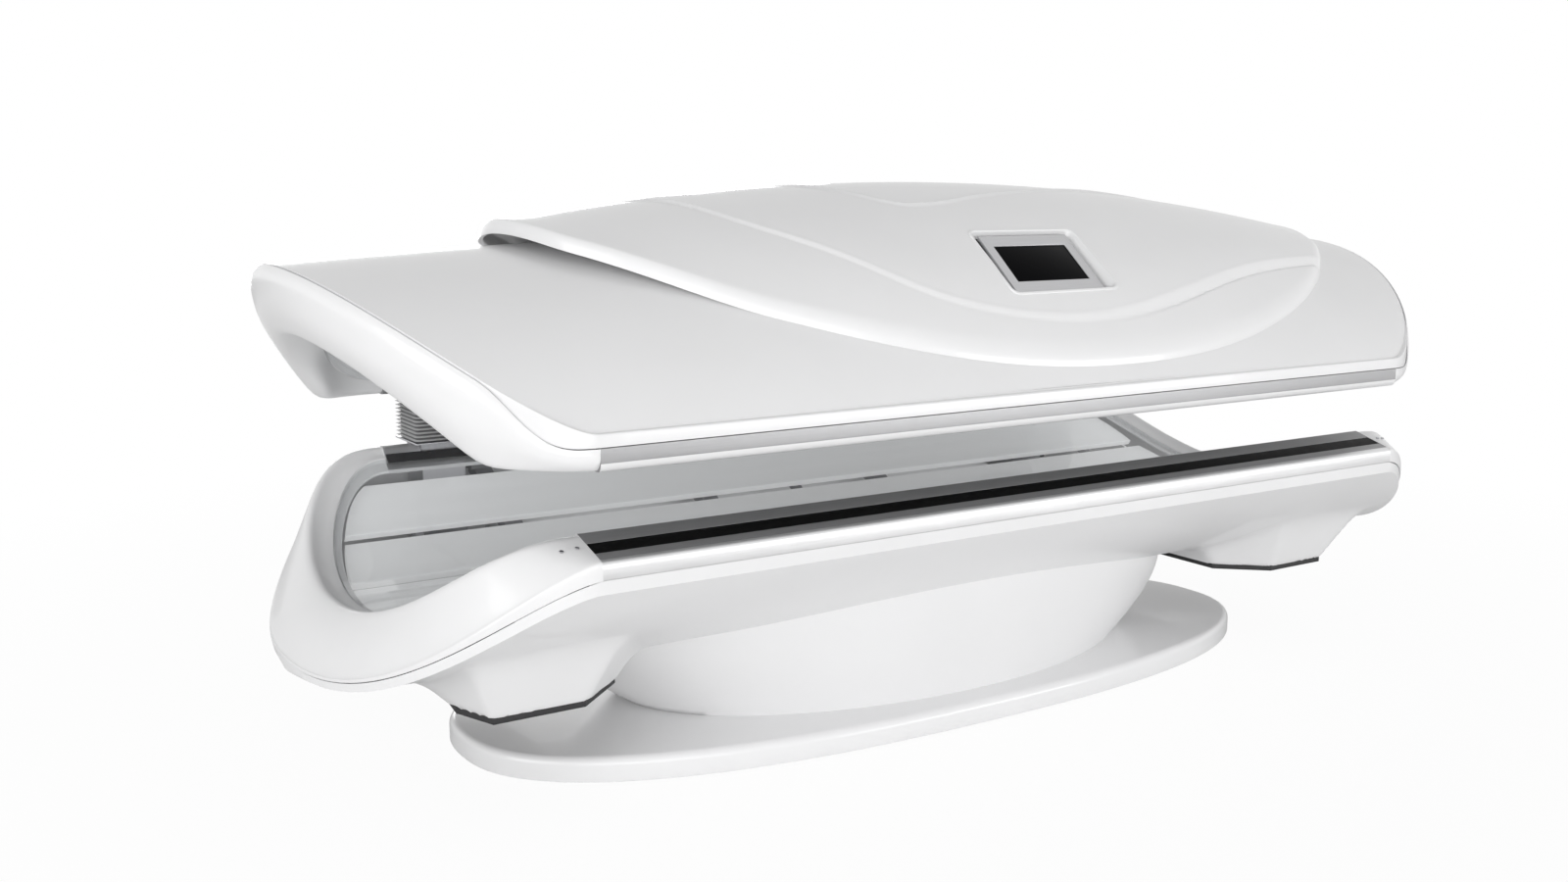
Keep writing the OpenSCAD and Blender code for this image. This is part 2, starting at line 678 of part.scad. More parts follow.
module fan_rotor() {
  color("#2b2e33") difference() {
    union() {
      translate([0, 0, 5]) cylinder(r = hub_r, h = 17, $fn = 48);
      intersection() {
        for (i = [0 : blade_n - 1]) rotate([0, 0, i*360/blade_n]) translate([hub_r - 4, 0, 13])
          rotate([35, 0, 0]) translate([0, -1, -13]) cube([fan_size/2, 2, 26]);
        translate([0, 0, 6]) cylinder(r = fan_size/2 - fan_bore - 2, h = 15, $fn = 96);
      }
    }
    translate([0, 0, 4]) cylinder(r = 3.08, h = 15, $fn = 32);
  }
}

module at_bed_fan(side) {
  translate([side*fan_x, 0, beam_z]) children();
}

inlet_x = rail_half - 25;
inlet_z = 250;
inlet_l = 60;
inlet_h = 32;
inlet_face = half_w - hull_inset;

switch_w = 19;
pin_r = 2;
pin_l = 1.5;
module at_switch_pin() {
  translate([inlet_x + 16, inlet_face - 4, inlet_z]) rotate([0, 90, 0]) children();
}

module power_inlet() {
  color("black") difference() {
    union() {
      translate([inlet_x - inlet_l/2 + 0.3, inlet_face - 28, inlet_z - inlet_h/2 + 0.3])
        cube([inlet_l - 0.6, 29, inlet_h - 0.6]);
      translate([inlet_x - inlet_l/2 - 5, inlet_face + seam, inlet_z - inlet_h/2 - 5])
        cube([inlet_l + 10, 1.5, inlet_h + 10]);
    }
    translate([inlet_x - 27, inlet_face - 20, inlet_z - 12]) cube([28, 30, 24]);
    translate([inlet_x + 6, inlet_face - 14, inlet_z - 12]) cube([20, 30, 24]);
    at_switch_pin() cylinder(r = pin_r + 0.35, h = switch_w + 2*pin_l + 1, center = true, $fn = 32);
  }
  color("silver") for (i = [-1, 0, 1]) translate([inlet_x - 13 + 7*i, inlet_face - 20, inlet_z + (i == 0 ? 4 : -4)])
    translate([-1, 0, -2.5]) cube([2, 14, 5]);
}

module main_switch() {
  color("firebrick") {
    translate([inlet_x + 16 - switch_w/2, inlet_face - 4, inlet_z]) rotate([90, 0, 90]) linear_extrude(switch_w)
      polygon([[-7, -5], [-1, -10.5], [4, -9.5], [2.6, 0], [1.6, 9.5], [-3, 10.5], [-7, 5]]);
    at_switch_pin() cylinder(r = pin_r, h = switch_w + 2*pin_l, center = true, $fn = 32);
  }
}

// Lift columns

module column_outer(side) {
  color("silver") {
    translate([0, 0, col_foot_z]) tube(col_size, col_wall, collar_z - col_foot_z);
    block(0, 0, col_z0, col_size, col_size, col_foot_t);
    if (side < 0) translate([gland_x + col_x - 15, gland_y - col_y - 15, collar_z]) cube([30, 40, collar_t]);
    difference() {
      block(0, 0, collar_z, bellows_size, bellows_size, collar_t);
      block(0, 0, collar_z - 1, mid_size + 2*col_fit, mid_size + 2*col_fit, collar_t + 2);
    }
  }
}

module column_middle() {
  color("gainsboro") translate([0, 0, mid_z]) {
    tube(mid_size, col_wall, mid_len);
    difference() {
      block(0, 0, 0, mid_size - 2, mid_size - 2, nut_t);
      translate([0, 0, -1]) cylinder(r = screw_r + 0.4, h = nut_t + 2, $fn = 64);
    }
  }
}

module column_inner() {
  color("silver") translate([0, 0, head_z - inner_len]) tube(inner_size, col_wall, inner_len);
}

module column_head(side) {
  color("gray") {
    block(0, 0, head_z, bellows_size, bellows_size, head_t);
    if (side < 0) translate([cable_end[0] + col_x - 12, cable_end[1] - col_y - 12, head_z]) cube([24, 40, head_t]);
  }
}

screw_z = col_foot_z + seam;
module lift_screw() {
  length = collar_z - col_foot_z - 12;
  color("lightslategray") translate([0, 0, screw_z]) {
    cylinder(r = screw_r, h = length, $fn = 64);
  }
}

motor_r = 25;
motor_l = 68;
module lift_motor(side) {
  x0 = col_size/2 + 0.2;
  color("darkgray") {
    block(side*(x0 + 20), 0, col_foot_z, 40, 60, 46);
    translate([side*(x0 + 40), 0, col_foot_z + 26]) rotate([0, side*90, 0]) cylinder(r = motor_r, h = motor_l, $fn = 64);
  }
}

bellows_wall = 1.2;
function bellows_profile() =
  let (h = bellows_z1 - bellows_z0, o = bellows_size/2, p = h/pleat_n)
  concat([for (i = [0 : pleat_n - 1]) each [[o - pleat_d, bellows_z0 + i*p], [o, bellows_z0 + (i + 0.5)*p]]],
    [[o - pleat_d, bellows_z1], [o - pleat_d - bellows_wall, bellows_z1]],
    [for (i = [pleat_n - 1 : -1 : 0]) each [[o - bellows_wall, bellows_z0 + (i + 0.5)*p],
      [o - pleat_d - bellows_wall, bellows_z0 + i*p]]]);

module bellows() {
  pr = bellows_profile();
  color("lightgray") skin([for (c = [[1, 1], [-1, 1], [-1, -1], [1, -1]]) [for (q = pr) [c[0]*q[0], c[1]*q[0], q[1]]]],
    looped = true);
}

gland_x = -(col_x - 22);
gland_y = col_y - 73;
gland_h = 13.4;
cable_r = 3.5;
module cable_gland() {
  color("black") translate([gland_x, gland_y, bellows_z0]) {
    cylinder(r = 6.5, h = gland_h, $fn = 48);
    translate([0, 0, gland_h - 2.5]) cylinder(r = 9, h = 2.5, $fn = 48);
  }
}

// Cable from the gland up to the tab on the column's head: outward, rearward, share of the height
cable_steps = [[0, 0, 0], [0, 0, 0.122], [1, 1, 0.244], [5, 2, 0.365], [11, 3, 0.472], [19, 3, 0.578],
  [26, 3, 0.685], [30, 3, 0.791], [32, 3, 0.898], [32, 3, 1]];
cable_route = [for (p = cable_steps)
  [gland_x - p[0], gland_y + p[1], mix(bellows_z0 + gland_h + seam, bellows_z1, p[2])]];
cable_end = cable_route[len(cable_route) - 1];
function cable_ring(i) =
  let (n = len(cable_route) - 1, d = cable_route[min(i + 1, n)] - cable_route[max(i - 1, 0)], u = d/norm(d),
    v = cross(u, [0, 1, 0]), vn = v/norm(v), w = cross(u, vn))
  [for (k = [0 : 7]) cable_route[i] + cable_r*(cos(45*k)*vn + sin(45*k)*w)];
module lift_cable() {
  color("black") skin([for (i = [0 : len(cable_route) - 1]) cable_ring(i)]);
}

// Each screw's place: beyond the rail's end, outside the crest and below it
screw_spots = [[15, 33, 9.7], [33, 29, 12.3]];
module cap_screws() {
  slope = 17;
  color("dimgray") for (u = [-1, 1], v = [-1, 1], p = screw_spots)
    translate([u*(rail_half + p[0]), v*(crest_half + p[1]), crest_z - p[2]]) rotate([-slope*v, 0, 0])
      cylinder(r = 2.5, h = 1.5, $fn = 24);
}

// Canopy

module canopy_shell() {
  function row(a) = plan(a, half_len - 9.5, half_w - 5.5, 1.25);
  left = concat([row(86)], [for (i = [13 : -1 : 3]) row(cap_steps[i])], [row(0)],
    [[-rail_half + 8, half_w]], [for (u = [0.84, 0.63, 0.42, 0.21, 0]) [-u*rail_half, half_w]]);
  rows = concat(left, [for (i = [len(left) - 2 : -1 : 0]) [-left[i][0], left[i][1]]]);
  n = 18;
  rings = [for (r = rows) concat(
    [for (i = [0 : n]) let (y = r[1]*sin(90*(2*i/n - 1))) [r[0], -y, shell_z(r[0], y)]],
    [for (i = [0 : n]) let (y = r[1]*sin(90*(2*i/n - 1))) [r[0], y, shell_z(r[0], y) - wall]])];
  color("white") difference() {
    skin(rings);
    for (s = [-1, 1]) translate([s*top_fan_x, 0, edge_z]) cylinder(r = fan_size/2 - 6, h = 300, $fn = 64);
  }
}

function top_cap_ring(a) =
  let (t = plan(a, half_len - 8, half_w - 4, 1.25), tz = shell_z(t[0], t[1]), f = plan(a, half_len - 22, half_w - 18, 1.25),
    fz = shell_z(f[0], f[1]) - wall - ledge_fit - seam, n1 = outer(a, 1.5), n2 = outer(a), lip = plan(a, half_len - 27, half_w - 9, 1.4),
    li = plan(a, half_len - 40, half_w - 16, 1.4), lz = lip_z(li[1]), d = tz - lz, s = sheet_edge(a),
    si = sheet_edge(a, seat_w), g = ledge_fit, seat = top_sheet_z(s[1]), over = top_over_z(s[1]) + g,
    up = top_over_z(si[1]) + g, iw = mix(li, s, 0.45), mid = plan(a, half_len - 7, half_w - 1, 1.28))
  [[t[0], t[1], tz], [n1[0], n1[1], tz - 0.08*d], [n2[0], n2[1], tz - 0.24*d], [mid[0], mid[1], tz - 0.6*d],
    [lip[0], lip[1], tz - 0.93*d], [li[0], li[1], lz], [iw[0], iw[1], mix(lz, seat, 0.2)],
    [s[0], s[1], seat - 0.5], [s[0], s[1], over], [si[0], si[1], up], [si[0], si[1], up + wall],
    [iw[0], iw[1], mix(lz, over, 0.5) + wall], [mid[0] + 9*cap_in(a)[0], mid[1] + 9*cap_in(a)[1], tz - 0.5*d],
    [f[0], f[1], fz - wall], [f[0], f[1], fz], [t[0], t[1], tz - wall - ledge_fit - seam]];
function cap_in(a) = let (p = outer(a), q = sheet_edge(a)) (q - p)/norm(q - p);

module canopy_cap() {
  color("white") skin([for (a = cap_steps) top_cap_ring(a)]);
}

module canopy_cap_left() {
  canopy_cap();
}

module canopy_cap_right() {
  mirror([1, 0, 0]) canopy_cap();
}

module canopy_rail() {
  h = acrylic_half;
  f = sheet_fit;
  color("silver") bar(rail_half, [[half_w - 5, top_low], [half_w - 1, top_low + 3], [half_w, top_low + 7],
    [half_w, top_rail_z], [h + 2, top_rail_z], [h + f, top_over_z(h) + 1], [h + f, top_sheet_z(h) - f],
    [h - seat_w, top_sheet_z(h - seat_w) - f], [h - seat_w, top_sheet_z(h - seat_w) - 5], [h + 3, top_low + 8],
    [h + 12, top_low]]);
}

module canopy_rail_front() {
  mirror([0, 1, 0]) canopy_rail();
}

module canopy_rail_back() {
  canopy_rail();
}

top_beam_in = 64;
top_beam_y = half_w - top_beam_in;
top_beam_h = 34;
rib_in = 113;
rib_spots = [for (k = [-3 : 2 : 3]) k*(rail_half - rib_in)/3];
module canopy_rib(x) {
  r = arch_r(arch_at(x));
  zc = edge_z + arch_at(x) - r;
  band = 18;
  skin_gap = wall + 2.5;
  low = norm([top_panel_r + panel_t, panel_w/2]) + 0.4;
  reach = panel_n/2*top_pitch - 1.05;
  translate([x - 12, 0, 0]) rotate([90, 0, 90]) linear_extrude(24) intersection() {
    translate([0, zc]) circle(r = r - skin_gap, $fn = 180);
    union() {
      difference() {
        translate([-top_beam_y - 14, top_rail_z + top_beam_h - 2]) square([2*top_beam_y + 28, 300]);
        translate([0, zc]) circle(r = r - skin_gap - band, $fn = 180);
      }
      for (s = [-1, 1]) translate([s*top_beam_y - 14, top_rail_z + top_beam_h - 2]) square([28, 60]);
      translate([0, top_arc_z]) difference() {
        union() {
          intersection() {
            circle(r = low + 12, $fn = 180);
            polygon([[0, 0], 2*low*[tan(reach), 1], 2*low*[-tan(reach), 1]]);
          }
          for (s = [-1, 1], d = [50, 170]) translate([s*(top_beam_y - d) - 8, 540 - top_arc_z]) square([16, 300]);
        }
        circle(r = low, $fn = 180);
      }
    }
  }
}

module canopy_frame() {
  color("gray") {
    for (s = [-1, 1]) block(0, s*top_beam_y, top_rail_z + seam, 2*rail_half - 20, 28, top_beam_h);
    for (x = rib_spots) canopy_rib(x);
  }
}

module canopy_acrylic() {
  color("lightblue", 0.4) intersection() {
    translate([-half_len, 0, top_arc_z]) rotate([90, 0, 90]) linear_extrude(2*half_len) difference() {
      circle(r = top_sheet_r + acrylic_t, $fn = 180);
      circle(r = top_sheet_r, $fn = 180);
    }
    translate([0, 0, top_low]) linear_extrude(400) sheet_plan();
  }
}

module canopy_light_panels() {
  color("lightgray") translate([0, 0, top_arc_z]) light_panels(top_panel_r, top_pitch);
}

module canopy_drivers() {
  color("silver") for (k = [-1, 0, 1], s = [-1, 1])
    translate([k*2*(rail_half - rib_in)/3, 0, top_arc_z]) rotate([s*top_pitch/2, 0, 0])
      translate([-90, -25, top_panel_r + panel_t + seam]) cube([180, 50, 22]);
}

module at_top_fan(side) {
  translate([side*top_fan_x, 0, shell_z(top_fan_x - fan_size/2, 0) + seam]) children();
}

hood_rows = concat([mouth_x],
  [for (u = [0.931, 0.877, 0.795, 0.699, 0.59, 0.466, 0.33, 0.179, 0.029]) mix(hood_mid, hood_left, u)],
  [for (u = [0.106, 0.237, 0.368, 0.487, 0.607, 0.714, 0.803, 0.875, 0.928, 0.964, 0.986, 0.995])
    mix(hood_mid, hood_right, u)]);
module hood() {
  n = 20;
  rings = [for (x = hood_rows) concat(
    [for (i = [0 : n]) let (t = -sin(90*(2*i/n - 1))) [x, t*hood_half(x), hood_z(x, t)]],
    [for (i = [0 : n]) let (t = sin(90*(2*i/n - 1))) [x, t*hood_half(x), hood_z(x, t) - hood_step + 2*seam]])];
  color("white") difference() {
    skin(rings);
    at_screen() translate([-recess_l/2, -recess_w/2, -60]) cube([recess_l, recess_w, 120]);
  }
}

// Touch screen, drawn flat and then laid on the slope of the hood
module at_screen() {
  z = hood_z(screen_x, screen_y/hood_half(screen_x)) - screen_sink;
  translate([screen_x, -screen_y, z]) rotate([screen_tilt, 0, 0]) children();
}

module screen_recess() {
  g = 0.4;
  color("white") at_screen() difference() {
    translate([-recess_l/2 + g, -recess_w/2 + g, -16]) cube([recess_l - 2*g, recess_w - 2*g, 19]);
    translate([-recess_l/2 + recess_wall_l, -recess_w/2 + recess_wall_w, -10])
      cube([recess_l - 2*recess_wall_l, recess_w - 2*recess_wall_w, 30]);
  }
}

module screen_bezel() {
  color("silver") at_screen() difference() {
    translate([-bezel_l/2, -bezel_w/2, -9.9]) cube([bezel_l, bezel_w, 8]);
    translate([-display_l/2 - 0.3, -display_w/2 - 0.3, -7]) cube([display_l + 0.6, display_w + 0.6, 8]);
  }
}

module display_panel() {
  color("black") at_screen() translate([-display_l/2, -display_w/2, -6.9]) cube([display_l, display_w, 3.4]);
}

floor_pads();
base_plate();
pedestal_shell();
pedestal_posts();
bed_frame();
lower_shell();
bed_cap_left();
bed_cap_right();
bed_rail_front();
bed_rail_back();
rail_strip_front();
rail_strip_back();
bed_acrylic();
bed_seals();
bed_light_panels();
foot_pad(-1);  // foot_pad_left
foot_pad(1);  // foot_pad_right
power_supplies();
control_box();
at_bed_fan(-1) fan_frame();  // bed_fan_frame_left
at_bed_fan(1) fan_frame();  // bed_fan_frame_right
at_bed_fan(-1) fan_rotor();  // bed_fan_rotor_left
at_bed_fan(1) fan_rotor();  // bed_fan_rotor_right
power_inlet();
main_switch();
at_columns(-1) column_outer(-1);  // column_outer_left
at_columns(1) column_outer(1);  // column_outer_right
at_columns(-1) column_middle();  // column_middle_left
at_columns(1) column_middle();  // column_middle_right
at_columns(-1) column_inner();  // column_inner_left
at_columns(1) column_inner();  // column_inner_right
at_columns(-1) column_head(-1);  // column_head_left
at_columns(1) column_head(1);  // column_head_right
at_columns(-1) lift_screw();  // lift_screw_left
at_columns(1) lift_screw();  // lift_screw_right
at_columns(-1) lift_motor(-1);  // lift_motor_left
at_columns(1) lift_motor(1);  // lift_motor_right
at_columns(-1) bellows();  // bellows_left
at_columns(1) bellows();  // bellows_right
cable_gland();
lift_cable();
cap_screws();
canopy_shell();
canopy_cap_left();
canopy_cap_right();
canopy_rail_front();
canopy_rail_back();
canopy_frame();
canopy_acrylic();
canopy_light_panels();
at_top_fan(-1) fan_frame();  // canopy_fan_frame_left
at_top_fan(1) fan_frame();  // canopy_fan_frame_right
at_top_fan(-1) fan_rotor();  // canopy_fan_rotor_left
at_top_fan(1) fan_rotor();  // canopy_fan_rotor_right
hood();
screen_recess();
screen_bezel();
display_panel();
canopy_drivers();
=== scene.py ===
import json
import math

import bmesh
import bpy
import numpy as np
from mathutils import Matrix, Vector

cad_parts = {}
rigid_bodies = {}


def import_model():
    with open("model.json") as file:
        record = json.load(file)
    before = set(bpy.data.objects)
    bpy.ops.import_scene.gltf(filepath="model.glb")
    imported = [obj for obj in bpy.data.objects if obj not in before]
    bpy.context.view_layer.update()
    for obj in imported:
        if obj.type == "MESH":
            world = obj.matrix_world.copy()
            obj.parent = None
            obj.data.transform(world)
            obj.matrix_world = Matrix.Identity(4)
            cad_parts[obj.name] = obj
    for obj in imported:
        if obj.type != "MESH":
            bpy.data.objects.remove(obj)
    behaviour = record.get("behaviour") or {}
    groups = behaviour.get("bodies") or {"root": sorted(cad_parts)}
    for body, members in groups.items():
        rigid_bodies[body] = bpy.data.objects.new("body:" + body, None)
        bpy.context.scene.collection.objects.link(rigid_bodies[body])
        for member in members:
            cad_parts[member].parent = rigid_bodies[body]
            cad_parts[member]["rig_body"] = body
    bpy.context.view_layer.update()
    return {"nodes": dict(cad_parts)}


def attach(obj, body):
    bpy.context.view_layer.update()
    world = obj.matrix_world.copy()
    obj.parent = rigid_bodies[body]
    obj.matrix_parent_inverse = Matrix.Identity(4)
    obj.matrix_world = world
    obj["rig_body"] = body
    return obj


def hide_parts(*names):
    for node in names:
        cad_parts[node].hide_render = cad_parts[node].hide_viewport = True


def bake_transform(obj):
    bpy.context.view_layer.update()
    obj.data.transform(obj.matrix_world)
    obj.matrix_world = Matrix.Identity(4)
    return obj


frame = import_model()
scene = bpy.context.scene

# Camera at the photograph's viewing angle

cam_data = bpy.data.cameras.new("camera")
cam_data.lens = 35
cam_data.sensor_width = 36
cam_data.clip_end = 60
camera = bpy.data.objects.new("camera", cam_data)
scene.collection.objects.link(camera)
yaw, pitch = math.radians(32.45), math.radians(9.55)
look = Vector((math.sin(yaw) * math.cos(pitch), math.cos(yaw) * math.cos(pitch), -math.sin(pitch)))
camera.location = (-1.450, -1.980, 0.802)
camera.rotation_euler = look.to_track_quat("-Z", "Y").to_euler()
scene.camera = camera

# Materials


ROUGH_VAR = 0.15


def set_inputs(node, **inputs):
    """Values of a node's inputs, an underscore standing for a space in their names."""
    for key, value in inputs.items():
        node.inputs[key.replace("_", " ")].default_value = value


def add_node(tree, kind, operation=None, **inputs):
    n = tree.nodes.new("ShaderNode" + kind)
    if operation:
        n.operation = operation
    set_inputs(n, **inputs)
    return n


def link(source, out, target, into):
    source.id_data.links.new(source.outputs[out], target.inputs[into])


def material(name, color, rough, var, scale, bump, fine, metal=0.0, stretch=(1, 1, 1), **sockets):
    """Principled surface whose colour, roughness and relief vary a little with procedural noise."""
    m = bpy.data.materials.new(name)
    m.use_nodes = True
    t = m.node_tree
    p = t.nodes["Principled BSDF"]
    set_inputs(p, Metallic=metal, **sockets)
    coord = add_node(t, "TexCoord")
    place = add_node(t, "Mapping", Scale=stretch)
    noise = add_node(t, "TexNoise", Scale=scale, Detail=5)
    ramp = add_node(t, "ValToRGB")
    dark, light = ramp.color_ramp.elements
    dark.position, light.position = 0.3, 0.7
    dark.color = [c * (1 - var) for c in color] + [1]
    light.color = [min(1, c * (1 + var)) for c in color] + [1]
    span = add_node(t, "MapRange", To_Min=rough * (1 - ROUGH_VAR), To_Max=rough * (1 + ROUGH_VAR))
    grain = add_node(t, "TexNoise", Scale=fine, Detail=3)
    relief = add_node(t, "Bump", Strength=bump, Distance=0.0006)
    link(coord, "Object", place, "Vector")
    link(place, "Vector", noise, "Vector")
    link(noise, "Fac", ramp, "Fac")
    link(ramp, "Color", p, "Base Color")
    link(noise, "Fac", span, "Value")
    link(span, "Result", p, "Roughness")
    link(place, "Vector", grain, "Vector")
    link(grain, "Fac", relief, "Height")
    link(relief, "Normal", p, "Normal")
    return m


BRUSHED = dict(scale=8, stretch=(1.5, 60, 60), bump=0.1, fine=60)
PANEL_FACE = dict(var=0.03, scale=3, stretch=(1, 12, 12), bump=0.05, fine=90)
CLOTH = dict(scale=50, bump=0.35, fine=900)

WHITE = material("white_gloss", (0.84, 0.84, 0.845), 0.3, var=0.012, scale=6, bump=0.05, fine=220,
                 Coat_Weight=0.25)
RAIL = material("rail_metal", (0.72, 0.72, 0.725), 0.38, metal=0.85, var=0.03, **BRUSHED)
# Lighter, less metallic copy of the rail metal: painted highlight on the canopy rails' rounded lower edge
RAIL_EDGE_PAINTED_HIGHLIGHT = material("rail_low_edge_painted_highlight", (0.86, 0.86, 0.865), 0.4, metal=0.3, var=0.02, **BRUSHED)
# Darker copy of the rail metal: painted shade on the canopy rails' face
RAIL_FACE_PAINTED_SHADE = material("rail_face_painted_shade", (0.34, 0.34, 0.345), 0.4, metal=0.7, var=0.03, **BRUSHED)
# Darker copy of the rail metal: painted shade on the bed rails' upward faces
RAIL_TOP_PAINTED_SHADE = material("rail_top_painted_shade", (0.3, 0.3, 0.305), 0.45, metal=0.5, var=0.05, **BRUSHED)
STRIP = material("strip_black", (0.004, 0.004, 0.004), 0.6, var=0.2, scale=60, bump=0.2, fine=500,
                 Specular_IOR_Level=0.08)
RUBBER = material("rubber_black", (0.02, 0.02, 0.021), 0.62, var=0.2, scale=50, bump=0.4, fine=600)
BLACK = material("black_plastic", (0.022, 0.022, 0.024), 0.45, var=0.15, scale=40, bump=0.3, fine=500)
STEEL = material("steel_paint", (0.2, 0.2, 0.21), 0.5, var=0.08, scale=25, bump=0.25, fine=350)
COLUMN = material("column_metal", (0.6, 0.6, 0.62), 0.32, metal=1.0, var=0.04, scale=8,
                  stretch=(60, 60, 1.5), bump=0.1, fine=60)
SCREW = material("screw_metal", (0.42, 0.42, 0.44), 0.3, metal=1.0, var=0.08, scale=90, bump=0.15, fine=700)
MOTOR = material("motor_paint", (0.3, 0.31, 0.33), 0.45, metal=0.3, var=0.08, scale=30, bump=0.3, fine=500)
SUPPLY = material("supply_metal", (0.55, 0.56, 0.57), 0.38, metal=0.9, var=0.06, scale=40, bump=0.2, fine=300)
# Lighter copy of the panel face with a faint glow: painted light that brightens the inside of the bed; the
# canopy's panels keep the darker copy without glow
PANEL = material("panel_face_painted_light", (0.72, 0.725, 0.73), 0.42, Emission_Strength=0.30,
                 Emission_Color=(1, 1, 1, 1), **PANEL_FACE)
PANEL_DIM = material("panel_unlit", (0.42, 0.425, 0.43), 0.42, **PANEL_FACE)
BELLOWS = material("bellows_cloth", (0.78, 0.78, 0.785), 0.6, var=0.05, Sheen_Weight=0.15, **CLOTH)
# Dark copy of the cloth: painted shade in the pleats' folds and on faces turned down
FOLD_PAINTED_SHADE = material("bellows_fold_painted_shade", (0.3, 0.3, 0.305), 0.65, var=0.08, **CLOTH)
BEZEL = material("bezel_metal", (0.5, 0.5, 0.51), 0.34, metal=0.85, var=0.04, scale=10,
                 stretch=(2, 90, 90), bump=0.15, fine=60)
SCREEN = material("display_glass", (0.002, 0.002, 0.0025), 0.16, var=0.2, scale=12, bump=0.01, fine=50,
                  Specular_IOR_Level=0.02)
ROCKER = material("rocker_red", (0.42, 0.03, 0.025), 0.35, var=0.06, scale=60, bump=0.1, fine=500)


def clear_material(name, tint, body):
    """Clear sheet: light passes straight through, and the surface mirrors more at a flat angle."""
    m = bpy.data.materials.new(name)
    m.use_nodes = True
    t = m.node_tree
    t.nodes.remove(t.nodes["Principled BSDF"])
    coord = add_node(t, "TexCoord")
    haze = add_node(t, "TexNoise", Scale=4, Detail=4)
    rough = add_node(t, "MapRange", To_Min=0.02, To_Max=0.06)
    through = add_node(t, "BsdfTransparent", Color=(*tint, 1))
    gloss = add_node(t, "BsdfGlossy")
    film = add_node(t, "BsdfDiffuse", Color=(0.9, 0.91, 0.92, 1))
    fresnel = add_node(t, "Fresnel", IOR=1.46)
    face = add_node(t, "NewGeometry")
    front = add_node(t, "Math", "SUBTRACT")
    front.inputs[0].default_value = 1.0
    share = add_node(t, "Math", "MULTIPLY")
    inside = add_node(t, "MixShader", Fac=body)
    surface = add_node(t, "MixShader")
    link(coord, "Object", haze, "Vector")
    link(haze, "Fac", rough, "Value")
    link(rough, "Result", gloss, "Roughness")
    link(face, "Backfacing", front, 1)
    link(fresnel, "Fac", share, 0)
    link(front, "Value", share, 1)
    link(through, "BSDF", inside, 1)
    link(film, "BSDF", inside, 2)
    link(share, "Value", surface, "Fac")
    link(inside, "Shader", surface, 1)
    link(gloss, "BSDF", surface, 2)
    link(surface, "Shader", t.nodes["Material Output"], "Surface")
    return m


CLEAR = clear_material("clear_acrylic", (0.985, 0.99, 0.992), 0.04)

# Shapes shared with the solids, in metres

# Half length of the rails, half length and width of the whole, wall of the skins
RH, HL, HW, WALL = 0.713, 0.970, 0.434, 0.004
# Bed rails: crest, underside, height of the side face, half the distance between the crests
CREST_Z, RAIL_LOW, RAIL_SIDE, CREST_HALF = 0.395, 0.352, 0.023, 0.364
# Heights of a bed cap's lower edge and crest at its tip
TIP_LOW, TIP_CREST = 0.187, 0.260
# Acrylic sheets: half width and length, thickness, radius and height of the centre of each arc
AC_HALF, AC_LEN, AC_T = 0.345, 0.868, 0.005
BED_R, BED_C = 0.514, 0.759
TOP_R, TOP_C = 0.610, -0.003
# Canopy: lower edge of its arch, rise of the arch and of its crown, rails' underside and top
EDGE_Z, ARCH, CROWN, TOP_LOW, TOP_RAIL = 0.515, 0.187, 0.033, 0.4784, 0.507
# Arch under the canopy's caps: depth below the top, radius, softness of its feet
LIP_DROP, LIP_R, LIP_SOFT = 0.092, 0.5, 0.007
# Columns: place of their axes, half width of their openings
COL_X, COL_Y, COL_CUT = 0.618, 0.382, 0.0365
# Fans: radius of the openings, distance of their axes from the middle
FAN_R, BED_FAN_X, TOP_FAN_X = 0.0535, 0.41, 0.26


def plan(a, xm, ym, e):
    """Outline of one end, from the side rail at a = 0 round to the other at a = pi."""
    return np.stack([-(RH + (xm - RH) * np.sin(a) ** e), ym * np.cos(a)], -1)


def outer(a, inset=0.0):
    """Outline of a cap."""
    return plan(a, HL - inset, HW - inset, 1.25)


def sheet_edge(a, inset=0.0):
    """Outline of the rounded end of an acrylic sheet."""
    return plan(a, AC_LEN - inset, AC_HALF - inset, 0.9)


def shell_z(x, y):
    """Top of the canopy's skin, an arc across that is highest in the middle of the length."""
    h = ARCH + CROWN * (1 - (x / HL) ** 2)
    r = (HW * HW + h * h) / (2 * h)
    return EDGE_Z + h - r + np.sqrt(np.maximum(r * r - y * y, 1e-9))


def bed_sheet_z(y):
    return BED_C - np.sqrt(BED_R ** 2 - y * y)


def bed_under_z(y):
    return BED_C - np.sqrt((BED_R + AC_T) ** 2 - y * y)


def top_sheet_z(y):
    return TOP_C + np.sqrt(TOP_R ** 2 - y * y)


def top_over_z(y):
    return TOP_C + np.sqrt((TOP_R + AC_T) ** 2 - y * y)


def cap_low_z(c):
    return TIP_LOW + (RAIL_LOW - TIP_LOW) * np.abs(c) ** 2.9


def cap_crest_z(c):
    return TIP_CREST + (CREST_Z - TIP_CREST) * np.abs(c) ** 2.25


def lip_z(y):
    """Underside of the canopy's caps, an arch that runs out softly at the rails' height."""
    arch = EDGE_Z + ARCH - LIP_DROP - LIP_R + np.sqrt(LIP_R ** 2 - y * y)
    return TOP_LOW + LIP_SOFT * np.log1p(np.exp((arch - TOP_LOW) / LIP_SOFT))


def smin(a, b, k):
    """The lower of two heights, rounded over a range k where they cross."""
    h = np.maximum(k - np.abs(a - b), 0) / k
    return np.minimum(a, b) - h * h * k / 4


def smooth(t):
    t = np.clip(t, 0, 1)
    return t * t * (3 - 2 * t)


